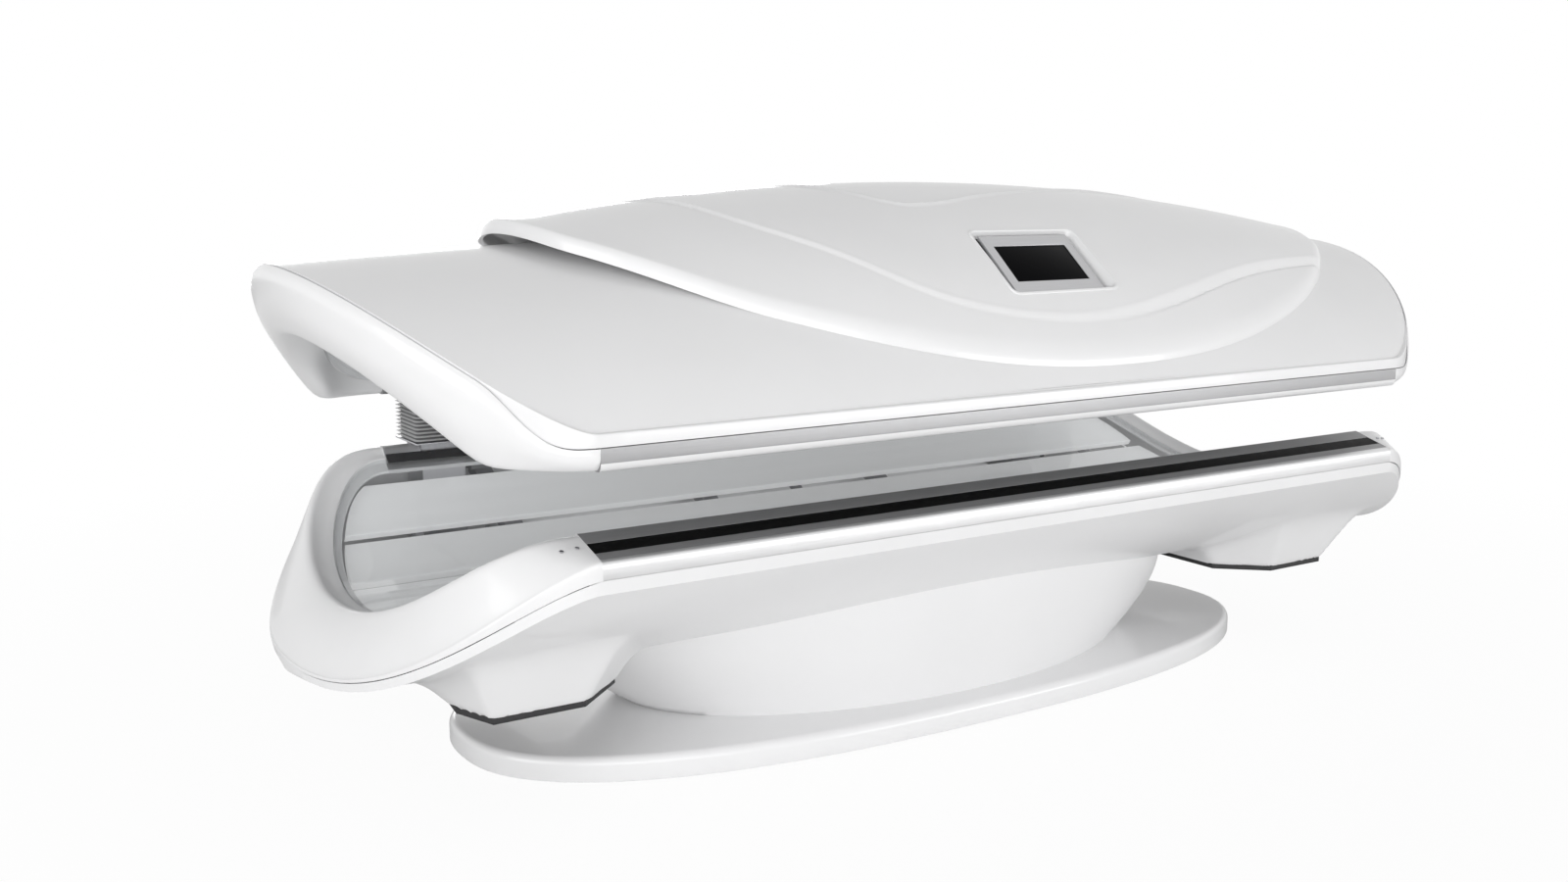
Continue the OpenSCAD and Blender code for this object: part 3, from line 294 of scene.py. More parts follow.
# Hull: inset from the caps, bottom, depth of the crease below them, softness where the feet begin
HULL_IN, HULL_BOTTOM, CREASE, HULL_SOFT = 0.002, 0.172, 0.017, 0.026
# Feet: ends, front, rear, underside
FOOT_X0, FOOT_X1, FOOT_FRONT, FOOT_REAR, FOOT_Z = 0.579, 0.806, 0.254, 0.430, 0.146
# Feet: chamfers' length from the front and width at both ends, softness of the ridges, flat margin
FOOT_CUT, CUT_IN, CUT_OUT, RIDGE_SOFT, FLAT = 0.066, 0.076, 0.024, 0.014, 0.004


def foot_rise(x, y):
    """Height of a foot's side faces over its flat underside, planes that meet in soft ridges."""
    u, ahead = np.abs(x), -FOOT_FRONT - y
    cut_in = ((FOOT_X0 + CUT_IN - u) * FOOT_CUT + ahead * CUT_IN) / math.hypot(FOOT_CUT, CUT_IN)
    cut_out = ((u - FOOT_X1 + CUT_OUT) * FOOT_CUT + ahead * CUT_OUT) / math.hypot(FOOT_CUT, CUT_OUT)
    rise = 2 * ahead
    for face in (1.1 * (u - FOOT_X1), 1.4 * (FOOT_X0 - u), 2 * (y - FOOT_REAR), 1.7 * cut_in,
                 1.6 * cut_out):
        rise = -smin(-rise, -face, RIDGE_SOFT)
    return np.maximum(rise - FLAT, 0)


def hull_w(x):
    """Half width of the hull's rim."""
    part = np.maximum(0, (np.abs(x) - RH) / (HL - HULL_IN - RH))
    return (HW - HULL_IN) * np.sqrt(np.maximum(0, 1 - part ** 1.6))


def hull_z(x, y):
    """Underside of the hull with its feet."""
    w = hull_w(x)
    c = w / (HW - HULL_IN)
    rim = cap_low_z(c) - CREASE * (0.5 + 0.5 * c)
    q = np.abs(y) / np.maximum(w, 1e-6)
    k = 0.02 * q ** 2 + 0.98 * (np.maximum(0, q - 0.35) / 0.65) ** 1.5
    bowl = HULL_BOTTOM + (rim - HULL_BOTTOM) * k
    return smin(bowl, FOOT_Z + foot_rise(x, y), HULL_SOFT)


# Hood: widest place, highest place, ends of its outline, half width
HOOD_MID, HOOD_PEAK, HOOD_L, HOOD_R, HOOD_W = 0.120, 0.041, -0.676, 0.880, 0.408
# Where its left end leaves that outline, and where it ends
ROUND_FROM, BLUNT = -0.606, -0.653


def hood_half(x):
    """Half width of the hood."""
    left = x < HOOD_MID
    u = np.where(left, (HOOD_MID - x) / (HOOD_MID - HOOD_L), (x - HOOD_MID) / (HOOD_R - HOOD_MID))
    e = np.where(left, 2.1, 2.38)
    tip = np.clip((ROUND_FROM - x) / (ROUND_FROM - BLUNT), 0, 1)
    return HOOD_W * np.sqrt(np.clip((1 - np.abs(u) ** e) * (1 - tip ** 4), 1e-6, 1))


def hood_over(x):
    """Height of the hood's ridge over the canopy's skin."""
    return 0.071 - np.where(x < HOOD_PEAK, 0.088, 0.075) * (x - HOOD_PEAK) ** 2


# Mesh helpers


def soften(ring, radii, n=4):
    """Closed ring, or rings, of corner points with each corner rounded by its radius."""
    ring = np.asarray(ring, float)
    m = ring.shape[-2]
    out = []
    for i in range(m):
        p, a, b = ring[..., i, :], ring[..., i - 1, :], ring[..., (i + 1) % m, :]
        r = radii[i]
        if np.max(r) <= 0:
            out.append(p)
            continue
        u, v = a - p, b - p
        lu = np.maximum(np.linalg.norm(u, axis=-1, keepdims=True), 1e-9)
        lv = np.maximum(np.linalg.norm(v, axis=-1, keepdims=True), 1e-9)
        s, e = p + u / lu * np.minimum(r, lu * 0.48), p + v / lv * np.minimum(r, lv * 0.48)
        for k in range(n + 1):
            t = k / n
            out.append(s * (1 - t) ** 2 + 2 * p * t * (1 - t) + e * t * t)
    return np.stack(out, -2)


def new_object(name, verts, faces, mat, body, nodes=(), smooth=30.0):
    me = bpy.data.meshes.new(name)
    me.from_pydata([tuple(map(float, v)) for v in verts], [], faces)
    me.materials.append(mat)
    finish_mesh(me, smooth)
    o = bpy.data.objects.new(name, me)
    scene.collection.objects.link(o)
    if body:
        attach(o, body)
    for n in nodes:
        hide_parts(n)
    return o


def finish_mesh(me, smooth):
    b = bmesh.new()
    b.from_mesh(me)
    bmesh.ops.remove_doubles(b, verts=b.verts, dist=1e-6)
    bmesh.ops.dissolve_degenerate(b, edges=b.edges, dist=1e-7)
    bmesh.ops.recalc_face_normals(b, faces=b.faces)
    b.to_mesh(me)
    b.free()
    me.shade_smooth()
    me.set_sharp_from_angle(angle=math.radians(smooth))
    me.update()


def loft_faces(n, m, looped=False, at=0):
    """Faces of a skin through n rings of m points, the first of them being point number at."""
    faces = []
    for i in range(n if looped else n - 1):
        this, after = at + i * m, at + (i + 1) % n * m
        for k in range(m):
            l = (k + 1) % m
            faces.append((this + k, after + k, after + l, this + l))
    if not looped:
        last = at + (n - 1) * m
        faces.append(tuple(at + k for k in range(m)))
        faces.append(tuple(last + k for k in reversed(range(m))))
    return faces


def loft(name, rings, mat, body, nodes=(), looped=False, smooth=30.0):
    """Skin through rings of points, an array of rings by points by 3."""
    rings = np.asarray(rings, float)
    faces = loft_faces(*rings.shape[:2], looped)
    return new_object(name, rings.reshape(-1, 3), faces, mat, body, nodes, smooth)


def join_lofts(name, lofts, mat, body, nodes):
    """One mesh from several closed skins."""
    verts, faces = [], []
    for rings in lofts:
        faces += loft_faces(*rings.shape[:2], at=len(verts))
        verts += list(rings.reshape(-1, 3))
    return new_object(name, verts, faces, mat, body, nodes)


def bar(section, half):
    """Rings of a Y-Z section drawn along X."""
    s = np.asarray(section, float)
    return np.stack([np.concatenate([np.full((len(s), 1), x), s], 1) for x in (-half, half)])


def dress(node, mat, bevel):
    """Copy of a CAD node with rounded edges, which then stands for it."""
    src = frame["nodes"][node]
    me = src.data.copy()
    me.materials.clear()
    me.materials.append(mat)
    b = bmesh.new()
    b.from_mesh(me)
    bmesh.ops.remove_doubles(b, verts=b.verts, dist=1e-5)
    bmesh.ops.dissolve_limit(b, angle_limit=math.radians(1.0), verts=b.verts, edges=b.edges)
    sharp = math.radians(32)
    edges = [e for e in b.edges if len(e.link_faces) == 2 and e.calc_face_angle(0) > sharp]
    bmesh.ops.bevel(b, geom=edges, offset=bevel, segments=3, profile=0.5, affect="EDGES", clamp_overlap=True)
    bmesh.ops.recalc_face_normals(b, faces=b.faces)
    b.to_mesh(me)
    b.free()
    me.shade_smooth()
    me.set_sharp_from_angle(angle=math.radians(35))
    o = bpy.data.objects.new(node + "_detailed", me)
    scene.collection.objects.link(o)
    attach(o, src["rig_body"])
    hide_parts(node)


def paint(node, mat):
    """New material on a CAD node that stays as it is."""
    me = frame["nodes"][node].data
    me.materials.clear()
    me.materials.append(mat)


def cut(obj, cutters):
    """Boolean cuts, applied to the mesh."""
    for c in cutters:
        mod = obj.modifiers.new("cut", "BOOLEAN")
        mod.operation = "DIFFERENCE"
        mod.solver = "EXACT"
        mod.object = c
        bpy.context.view_layer.update()
        deps = bpy.context.evaluated_depsgraph_get()
        me = bpy.data.meshes.new_from_object(obj.evaluated_get(deps))
        obj.modifiers.remove(mod)
        old = obj.data
        obj.data = me
        bpy.data.meshes.remove(old)
    for c in cutters:
        bpy.data.objects.remove(c)
    obj.data.shade_smooth()
    obj.data.set_sharp_from_angle(angle=math.radians(30))


def prism(name, outline, z0, z1, place=None):
    """Closed prism over an X-Y outline, used as a cutter."""
    n = len(outline)
    v = [(x, y, z0) for x, y in outline] + [(x, y, z1) for x, y in outline]
    f = [tuple(range(n - 1, -1, -1)), tuple(range(n, 2 * n))]
    f += [(i, (i + 1) % n, n + (i + 1) % n, n + i) for i in range(n)]
    if place is not None:
        v = [tuple(place(*p)) for p in v]
    me = bpy.data.meshes.new(name)
    me.from_pydata(v, [], f)
    o = bpy.data.objects.new(name, me)
    scene.collection.objects.link(o)
    return o


def square(cx, cy, half):
    return [(cx - half, cy - half), (cx + half, cy - half), (cx + half, cy + half), (cx - half, cy + half)]


def fan_cutters(x, z0, z1, n=72):
    """Round cutters for the two openings of a pair of fans."""
    turns = [2 * math.pi * i / n for i in range(n)]
    return [prism("cut_" + str(sign), [(sign * x + FAN_R * math.cos(t), FAN_R * math.sin(t)) for t in turns],
                  z0, z1) for sign in (-1, 1)]


def mirrored_x(rings):
    r = np.array(rings)
    r[..., 0] *= -1
    return r


# Steps from rail to rail round one end, finest next to the rails
ends = 0.5 * math.pi * (1 - np.cos(np.pi * np.arange(0, 97) / 96))

# Floor plate and pedestal

# Floor plate: half length and width, exponent of its outline, top, radius of its upper edge
PLATE_L, PLATE_W, PLATE_E, PLATE_TOP, PLATE_ROUND = 0.733, 0.291, 2 / 2.45, 0.038, 0.012
# Pedestal: half length and width on the plate, and how much they grow up to the hull
BOAT_L, BOAT_W, FLARE_L, FLARE_W = 0.470, 0.240, 0.106, 0.034


def plate_ring(inset, z, n=180):
    a = -2 * np.pi * np.arange(n) / n
    x = (PLATE_L - inset) * np.sign(np.cos(a)) * np.abs(np.cos(a)) ** PLATE_E
    y = (PLATE_W - inset) * np.sign(np.sin(a)) * np.abs(np.sin(a)) ** PLATE_E
    return np.stack([x, y, np.full(n, z)], -1)


profile = [(0.004, 0.002), (0.0012, 0.0032), (0.0, 0.006)]
profile += [(PLATE_ROUND * (1 - math.cos(t)), PLATE_TOP - PLATE_ROUND * (1 - math.sin(t)))
            for t in np.linspace(0, math.pi / 2, 8)]
loft("floor_plate", [plate_ring(i, z) for i, z in profile], WHITE, "base", ["base_plate"], smooth=40)

around = 2 * np.pi * np.arange(180) / 180


def boat(t, inset):
    """Outline of the pedestal, from the plate at t = 0 to the hull at t = 1."""
    length, width = BOAT_L + FLARE_L * t - inset, BOAT_W + FLARE_W * t - inset
    return np.stack([length * np.cos(around), width * np.sin(around)], -1)


def hull_over(inset):
    """Height of the hull over the pedestal's upper outline."""
    line = boat(1, inset)
    return hull_z(line[:, 0], line[:, 1]) + 0.0008


def boat_side(inset, rim):
    """Rings of the pedestal's side from the plate up to the rim."""
    return [np.concatenate([boat(math.sin(t * math.pi / 2), inset),
                            (PLATE_TOP + (rim - PLATE_TOP) * t)[:, None]], 1) for t in np.linspace(0, 1, 15)]


rim = hull_over(0)
sides = boat_side(0, rim) + boat_side(WALL, np.minimum(rim, hull_over(WALL)))[::-1]
loft("pedestal_skin", np.stack(sides, 1), WHITE, "base", ["pedestal_shell"], looped=True, smooth=50)

# Hull

# Stations finest at the tips and over the feet
tip_part = 1 - np.cos(np.linspace(0.05, math.pi / 2, 64))
xs = np.concatenate([-HL + HULL_IN + (HL - HULL_IN - RH) * tip_part, np.linspace(-RH + 0.006, -0.56, 46),
                     np.linspace(-0.55, -0.46, 10), np.linspace(-0.44, 0, 14)])
xs = np.concatenate([xs, -xs[-2::-1]])
half_cols = np.concatenate([np.linspace(0, 0.38, 10), np.linspace(0.39, 0.74, 50),
                            0.74 + 0.26 * np.sin(np.linspace(0, math.pi / 2, 17))[1:]])
cols = np.concatenate([-half_cols[:0:-1], half_cols])
rings = []
for x in xs:
    w = hull_w(x)
    v = min(WALL, w / 3)
    seam = 0.0003 + 0.0012 * smooth((abs(x) - RH) / 0.01)
    rim_o = cap_low_z(w / (HW - HULL_IN)) - seam
    rim_i = cap_low_z((w - v) / (HW - HULL_IN)) - seam
    y = cols * w
    z = hull_z(np.full_like(y, x), y)
    yi = cols[::-1] * (w - v)
    zi = np.minimum(rim_i - 0.0005, hull_z(np.full_like(yi, x), yi * w / (w - v)) + WALL)
    if w < 0.05:  # closed at the very tips
        zi = np.full_like(yi, rim_i - 0.0005)
    ring = [(x, -w, rim_o)] + [(x, p, q) for p, q in zip(y, z)] + [(x, w, rim_o), (x, w - v, rim_i)]
    ring += [(x, p, q) for p, q in zip(yi, zi)] + [(x, -w + v, rim_i)]
    rings.append(ring)
hull = loft("hull_skin", rings, WHITE, "base", ["lower_shell"], smooth=50)
cut(hull, fan_cutters(BED_FAN_X, 0.15, 0.19) + [prism("cut_inlet", square(0.688, 0.43, 0.03), 0.234, 0.266)])

# Bed caps


def z_col(p, z):
    """Points in X and Y with their heights as the third column."""
    return np.concatenate([p, np.broadcast_to(np.asarray(z, float), p.shape[:-1])[..., None]], -1)


def bed_cap_rings(a):
    """Sections of the cap: side face, crest, slope to the sheet, ledge under it and back inside."""
    c = np.abs(np.cos(a))
    low, top = cap_low_z(c), cap_crest_z(c)
    o, o3, o5, k = outer(a), outer(a, 0.003), outer(a, 0.005), plan(a, 0.903, CREST_HALF, 0.7)
    s, si = sheet_edge(a), sheet_edge(a, 0.012)
    seat = bed_sheet_z(s[:, 1])
    under, ledge = bed_under_z(s[:, 1]) - 0.0012, bed_under_z(si[:, 1]) - 0.0012
    side = RAIL_SIDE * (0.2 + 0.8 * c ** 4)
    m, mz = (o3 + k) / 2, (low + side + top) / 2 + 0.009 * (1 - c * c)
    w, wz = (k + s) / 2, top + (seat - top) * 0.72
    kk, ks = s + (k - s) * 0.2, under - WALL
    pts = [z_col(o, low), z_col(o, low + side - 0.003 * c), z_col(o3, low + side), z_col(m, mz),
           z_col(k, top), z_col(w, wz), z_col(s, seat + 0.0005), z_col(s, under), z_col(si, ledge),
           z_col(si, ledge - WALL), z_col(kk, ks), z_col(k, top - 0.009), z_col(m, mz - 0.006),
           z_col(o5, low + side * 0.6), z_col(o5, low)]
    round_side = (0.006 + 0.02 * (1 - c))[:, None]
    radii = [0.0006, round_side, round_side, 0.03, 0.014, 0.02, 0.0012, 0, 0, 0, 0, 0, 0, 0, 0]
    return soften(np.stack(pts, 1), radii, 5)


cap = bed_cap_rings(ends)
loft("bed_cap_left_skin", cap, WHITE, "base", ["bed_cap_left"], smooth=40)
loft("bed_cap_right_skin", mirrored_x(cap), WHITE, "base", ["bed_cap_right"], smooth=40)

# Bed rails

# Groove for the black strip: where it starts and ends on the sloping top, and its depth
STRIP_OUT, STRIP_IN, STRIP_DEEP = 0.73, 0.38, 0.0033


def bed_rail(sign):
    """Section of a bed rail in Y and Z, with the groove for its black strip."""
    h, hl, f = AC_HALF, AC_HALF - 0.012, 0.0003
    sheet, under, ledge = float(bed_sheet_z(h)), float(bed_under_z(h)), float(bed_under_z(hl))
    side = [(HW, RAIL_LOW), (HW, RAIL_LOW + RAIL_SIDE - 0.004), (HW - 0.004, RAIL_LOW + RAIL_SIDE)]

    def at(t, drop=0.0):
        """Point on the sloping top, from the crest at t = 0 to the side at t = 1."""
        y = CREST_HALF + (HW - 0.004 - CREST_HALF) * t
        return (y, CREST_Z + (RAIL_LOW + RAIL_SIDE - CREST_Z) * t - drop)

    groove = [at(STRIP_OUT), at(STRIP_OUT, STRIP_DEEP), at(STRIP_IN, STRIP_DEEP), at(STRIP_IN)]
    rest = [(CREST_HALF + 0.004, CREST_Z - 0.001), (CREST_HALF, CREST_Z),
            (CREST_HALF - 0.007, CREST_Z - 0.003), (h + 0.0025, sheet + 0.0025), (h + 0.0006, sheet + f),
            (h + f, under - f), (hl, ledge - f), (hl, ledge - 0.006), (h + 0.005, RAIL_LOW + 0.002),
            (h + 0.008, RAIL_LOW)]
    ring = side + groove + rest
    radii = [0.0015, 0.006, 0.006, 0.0004, 0, 0, 0.0004, 0.002, 0.002, 0.002, 0, 0, 0, 0, 0, 0, 0]
    sec = soften(np.array(ring), radii, 5)
    sec[:, 0] *= sign
    return sec


for side, sign in (("front", -1), ("back", 1)):
    rail = loft("bed_rail_" + side + "_skin", bar(bed_rail(sign), RH), RAIL, "base", ["bed_rail_" + side],
                smooth=25)
    # Painted shade: the upward faces between the crest and the side take the darker copy of the rail metal
    rail.data.materials.append(RAIL_TOP_PAINTED_SHADE)
    for poly in rail.data.polygons:
        if poly.normal.z > 0.6 and CREST_HALF + 0.001 < abs(poly.center.y) < HW - 0.008:
            poly.material_index = 1
    if sign > 0:
        cut(rail, [prism("cut_" + str(s), square(s * COL_X, COL_Y, COL_CUT), 0.29, 0.45) for s in (-1, 1)])

# Acrylic sheets


def sheet_rings(r, side, zc):
    """Bent sheet with rounded ends: side is -1 for a trough and 1 for an arch."""
    gap = 0.0016
    ym = AC_HALF - gap
    th = np.arcsin(ym / r) * np.sin(np.linspace(-math.pi / 2, math.pi / 2, 61))
    y = r * np.sin(th)
    half = RH + (AC_LEN - gap - RH) * np.maximum(0, 1 - (y / ym) ** 2) ** 0.45
    x = half[:, None] * np.linspace(-1, 1, 25)

    def face(rr):
        z = zc + side * np.sqrt(rr * rr - y * y)
        return np.stack([x, np.broadcast_to(y[:, None], x.shape), np.broadcast_to(z[:, None], x.shape)], -1)

    near, far = face(r), face(r + AC_T)
    return np.concatenate([near, far[:, ::-1]], 1)


loft("bed_sheet", sheet_rings(BED_R, -1, BED_C), CLEAR, "base", ["bed_acrylic"], smooth=30)
loft("canopy_sheet", sheet_rings(TOP_R, 1, TOP_C), CLEAR, "canopy", ["canopy_acrylic"], smooth=30)

# Light panels in the bed, each reaching towards the rounded ends of the sheet

# Distance of their faces from the sheet's centre, width, thickness, angle between two, least half length
PANEL_R, PANEL_W, PANEL_T, PANEL_PITCH, PANEL_END = 0.533, 0.104, 0.012, math.radians(13.187), 0.740
PANELS, PANEL_EDGE = 6, 0.0012


def panel_rings(i):
    """Levels of one panel, from its face to its back, with ends that follow the sheet's rounded end."""
    m = (i - (PANELS - 1) / 2) * PANEL_PITCH
    rings = []
    for d, inset in ((0, PANEL_EDGE), (PANEL_EDGE, 0), (PANEL_T - PANEL_EDGE, 0), (PANEL_T, PANEL_EDGE)):
        u = np.linspace(-0.5, 0.5, 15) * (PANEL_W - 2 * inset)
        side = np.clip(np.abs(PANEL_R * math.sin(m) + u * math.cos(m)) / AC_HALF, 0, 1)
        end = np.maximum(PANEL_END, RH + (AC_LEN - 0.020 - RH) * (1 - side ** 2) ** 0.45) - inset
        x, u = np.concatenate([end, -end[::-1]]), np.concatenate([u, u[::-1]])
        d += PANEL_R
        y, z = d * math.sin(m) + u * math.cos(m), BED_C - d * math.cos(m) + u * math.sin(m)
        rings.append(np.stack([x, y, z], -1))
    return np.array(rings)


# The bed's panels take the lighter, glowing copy of the panel face: painted light inside the bed
join_lofts("bed_panels_long", [panel_rings(i) for i in range(PANELS)], PANEL, "base", ["bed_light_panels"])

# Canopy shell

SHELL_IN, SHELL_COLS = 0.0115, 81


def seam_part(x):
    """0 where the shell ends on the side face above the rail, 1 where it ends on the top."""
    return smooth((np.abs(x) - RH - 0.02) / 0.10)


def shell_outline(x):
    """Half width of the shell."""
    part = np.clip((abs(x) - RH) / (HL - SHELL_IN - RH), 0, 1)
    return (HW - 0.007 * seam_part(x)) * math.sqrt(max(0, 1 - part ** 1.6))


ex = RH + (HL - SHELL_IN - RH) * np.sin(np.linspace(0, 1.535, 60)) ** 1.25
xs = np.concatenate([-ex[::-1], np.linspace(-0.70, 0.70, 64), ex])
rings = []
for x in xs:
    w = shell_outline(x)
    y = w * np.sin(np.linspace(-math.pi / 2, math.pi / 2, SHELL_COLS))
    up = [(x, p, q) for p, q in zip(y, shell_z(x, y))]
    down = [(x, p, q) for p, q in zip(y[::-1], shell_z(x, y[::-1]) - WALL)]
    on_top = float(seam_part(x))
    lift = 0.009 * (1 - on_top)
    side = w - 0.0065 * (1 - on_top)
    up[0], up[-1] = (x, -w, up[0][2] + lift), (x, w, up[-1][2] + lift)
    under = (TOP_RAIL + 0.0003) * (1 - on_top) + (float(shell_z(x, w)) - WALL) * on_top
    down[0], down[-1] = (x, w, under), (x, -w, under)
    for i in range(1, SHELL_COLS - 1):
        if abs(up[i][1]) > side - 0.0005:
            v = math.copysign(side - 0.0005 * (1 + min(i, SHELL_COLS - 1 - i)), up[i][1])
            up[i] = (x, v, float(shell_z(x, v)))
    flat = [0] * (SHELL_COLS - 2)
    rings.append(soften(np.array(up + down), [0.003] + flat + [0.003, 0.001] + flat + [0.001], 4))
shell = loft("canopy_skin", rings, WHITE, "canopy", ["canopy_shell"], smooth=50)
cut(shell, fan_cutters(TOP_FAN_X, 0.6, 0.8))

# Canopy caps


def top_cap_rings(a):
    """Sections of the cap: from the seam with the shell down, under the lip and up to the sheet."""
    o = outer(a)
    b = seam_part(o[:, 0])
    t = o + (plan(a, HL - 0.008, HW - 0.004, 1.25) - o) * b[:, None]
    tz = TOP_RAIL + (shell_z(t[:, 0], t[:, 1]) - TOP_RAIL) * b
    f = plan(a, HL - 0.022, HW - 0.018, 1.25)
    fz = tz - 0.0008 + (shell_z(f[:, 0], f[:, 1]) - WALL - 0.0007 - tz) * b
    n1, mid = outer(a, 0.0015), plan(a, HL - 0.007, HW - 0.001, 1.28)
    lip, li = plan(a, HL - 0.027, HW - 0.009, 1.4), plan(a, HL - 0.040, HW - 0.016, 1.4)
    lz = lip_z(li[:, 1])
    d = tz - lz
    s, si = sheet_edge(a), sheet_edge(a, 0.012)
    seat = top_sheet_z(s[:, 1])
    over, up = top_over_z(s[:, 1]) + 0.0012, top_over_z(si[:, 1]) + 0.0012
    flat = np.abs(np.cos(a)) ** 3
    iw = li + (s - li) * (0.45 + 0.5 * flat)[:, None]
    inward = (s - o) / np.linalg.norm(s - o, axis=1, keepdims=True)
    pts = [z_col(t, tz), z_col(n1, tz - 0.08 * d), z_col(o, tz - 0.24 * d), z_col(mid, tz - 0.6 * d),
           z_col(lip, tz - 0.93 * d), z_col(li, lz), z_col(iw, lz + (seat - lz) * 0.2 * (1 - flat)),
           z_col(s, seat - 0.0005), z_col(s, over), z_col(si, up), z_col(si, up + WALL),
           z_col(iw, (lz + over) / 2 + WALL), z_col(mid + 0.009 * inward, tz - 0.5 * d), z_col(f, fz - WALL),
           z_col(f, fz), z_col(t, tz - WALL - 0.0015)]
    radii = [0.0012, 0.008, 0.02, 0.03, 0.012, 0.012, 0.02, 0.001, 0, 0, 0, 0, 0, 0, 0, 0]
    return soften(np.stack(pts, 1), radii, 5)


cap = top_cap_rings(ends)
loft("canopy_cap_left_skin", cap, WHITE, "canopy", ["canopy_cap_left"], smooth=40)
loft("canopy_cap_right_skin", mirrored_x(cap), WHITE, "canopy", ["canopy_cap_right"], smooth=40)


def canopy_rail(sign):
    """Section of a canopy rail in Y and Z."""
    h, hl, f = AC_HALF, AC_HALF - 0.012, 0.0003
    over, sheet, ledge = float(top_over_z(h)), float(top_sheet_z(h)), float(top_sheet_z(hl))
    pts = [(HW - 0.006, TOP_LOW), (HW - 0.0015, TOP_LOW + 0.004), (HW, TOP_LOW + 0.010), (HW, TOP_RAIL),
           (h + 0.002, TOP_RAIL), (h + f, over + 0.001), (h + f, sheet - f), (hl, ledge - f),
           (hl, ledge - 0.005), (h - 0.001, TOP_LOW + 0.008), (h + 0.004, TOP_LOW)]
    sec = soften(np.array(pts), [0.003, 0.003, 0.003, 0.001, 0, 0, 0, 0.001, 0.001, 0.004, 0.004], 5)
    sec[:, 0] *= sign
    return sec


for side, sign in (("front", -1), ("back", 1)):
    rail = loft("canopy_rail_" + side + "_skin", bar(canopy_rail(sign), RH), RAIL_FACE_PAINTED_SHADE, "canopy",
                ["canopy_rail_" + side], smooth=25)
    # Painted light: the face takes the darker copy of the rail metal, and the rounded lower edge, turned down
    # and out, the lighter copy as a painted highlight
    rail.data.materials.append(RAIL_EDGE_PAINTED_HIGHLIGHT)
    for poly in rail.data.polygons:
        if -0.9 < poly.normal.z < -0.12 and abs(poly.center.y) > HW - 0.01:
            poly.material_index = 1

# Hood

# Its two curved lines, seen from above
FRONT_LINE = np.array([(-0.47, 0.06), (-0.438, -0.01), (-0.373, -0.161), (-0.251, -0.269), (-0.149, -0.333),
                       (-0.017, -0.365), (0.127, -0.372), (0.288, -0.351), (0.49, -0.305), (0.645, -0.275),
                       (0.725, -0.26), (0.79, -0.245)])
REAR_LINE = np.array([(-0.22, 0.05), (-0.193, -0.017), (-0.11, -0.141), (-0.032, -0.158), (0.086, -0.129),
                      (0.244, -0.086), (0.42, -0.03), (0.6, 0.01), (0.76, 0.03)])


def spline(pts, n):
    """Smooth curve through the points, n steps between each two."""
    p = np.vstack([2 * pts[0] - pts[1], pts, 2 * pts[-1] - pts[-2]])
    out = []
    for i in range(1, len(p) - 2):
        for k in range(n):
            t = k / n
            a, b, c, d = p[i - 1], p[i], p[i + 1], p[i + 2]
            out.append(0.5 * (2 * b + (c - a) * t + (2 * a - 5 * b + 4 * c - d) * t * t
                              + (3 * b - a - 3 * c + d) * t ** 3))
    return np.array(out + [p[-2]])


FRONT_CURVE, REAR_CURVE = spline(FRONT_LINE, 4), spline(REAR_LINE, 4)


def side_of(line, x, y):
    """Signed distance to a curve, positive on its +Y side."""
    a, b = line[:-1], line[1:]
    d = b - a
    px, py = x[..., None] - a[:, 0], y[..., None] - a[:, 1]
    t = np.clip((px * d[:, 0] + py * d[:, 1]) / (d ** 2).sum(1), 0, 1)
    qx, qy = px - t * d[:, 0], py - t * d[:, 1]
    k = np.argmin(qx ** 2 + qy ** 2, -1)[..., None]
    dist = np.sqrt(np.take_along_axis(qx ** 2 + qy ** 2, k, -1))[..., 0]
    cross = np.take_along_axis(d[:, 0] * py - d[:, 1] * px, k, -1)[..., 0]
    return dist * np.sign(cross)


def hood_lines(x, y):
    """Raised step along the front curve, with a crease under it, and a fine bead along the rear one."""
    f = side_of(FRONT_CURVE, x, y)
    r = side_of(REAR_CURVE, x, y)
    fade = smooth((x + 0.47) / 0.06) * smooth((0.83 - x) / 0.04)
    wide = smooth((x + 0.1) / 0.4)
    high, reach = 0.0030 + 0.0038 * wide, 0.005 + 0.0035 * wide
    step = high * smooth((f + 0.5 * reach) / reach) * smooth((0.12 - f) / 0.11)
    step += 0.0008 * np.exp(-((f - 0.003) / 0.003) ** 2)
    step -= 0.0030 * np.exp(-((f + 0.62 * reach) / 0.0022) ** 2) * (0.1 + 0.9 * smooth((x - 0.1) / 0.25))
    bead = 0.0032 * np.exp(-(r / 0.0035) ** 2) * smooth((x + 0.22) / 0.05) * smooth((0.76 - x) / 0.1)
    return step * fade + bead


def rim_gap(x):
    """Height of the hood's rim over the shell: it stands off at the left end as an air outlet."""
    return 0.0006 + 0.0158 * smooth((-0.40 - x) / 0.24)


def rim_distance(x, y):
    """Distance inwards from the hood's rim, and the place across its width from 0 to 1."""
    half = hood_half(x)
    slope = (hood_half(x + 1e-4) - hood_half(x - 1e-4)) / 2e-4
    return np.maximum(0, half - np.abs(y)) / np.sqrt(1 + slope * slope), np.clip(np.abs(y) / half, 0, 1)


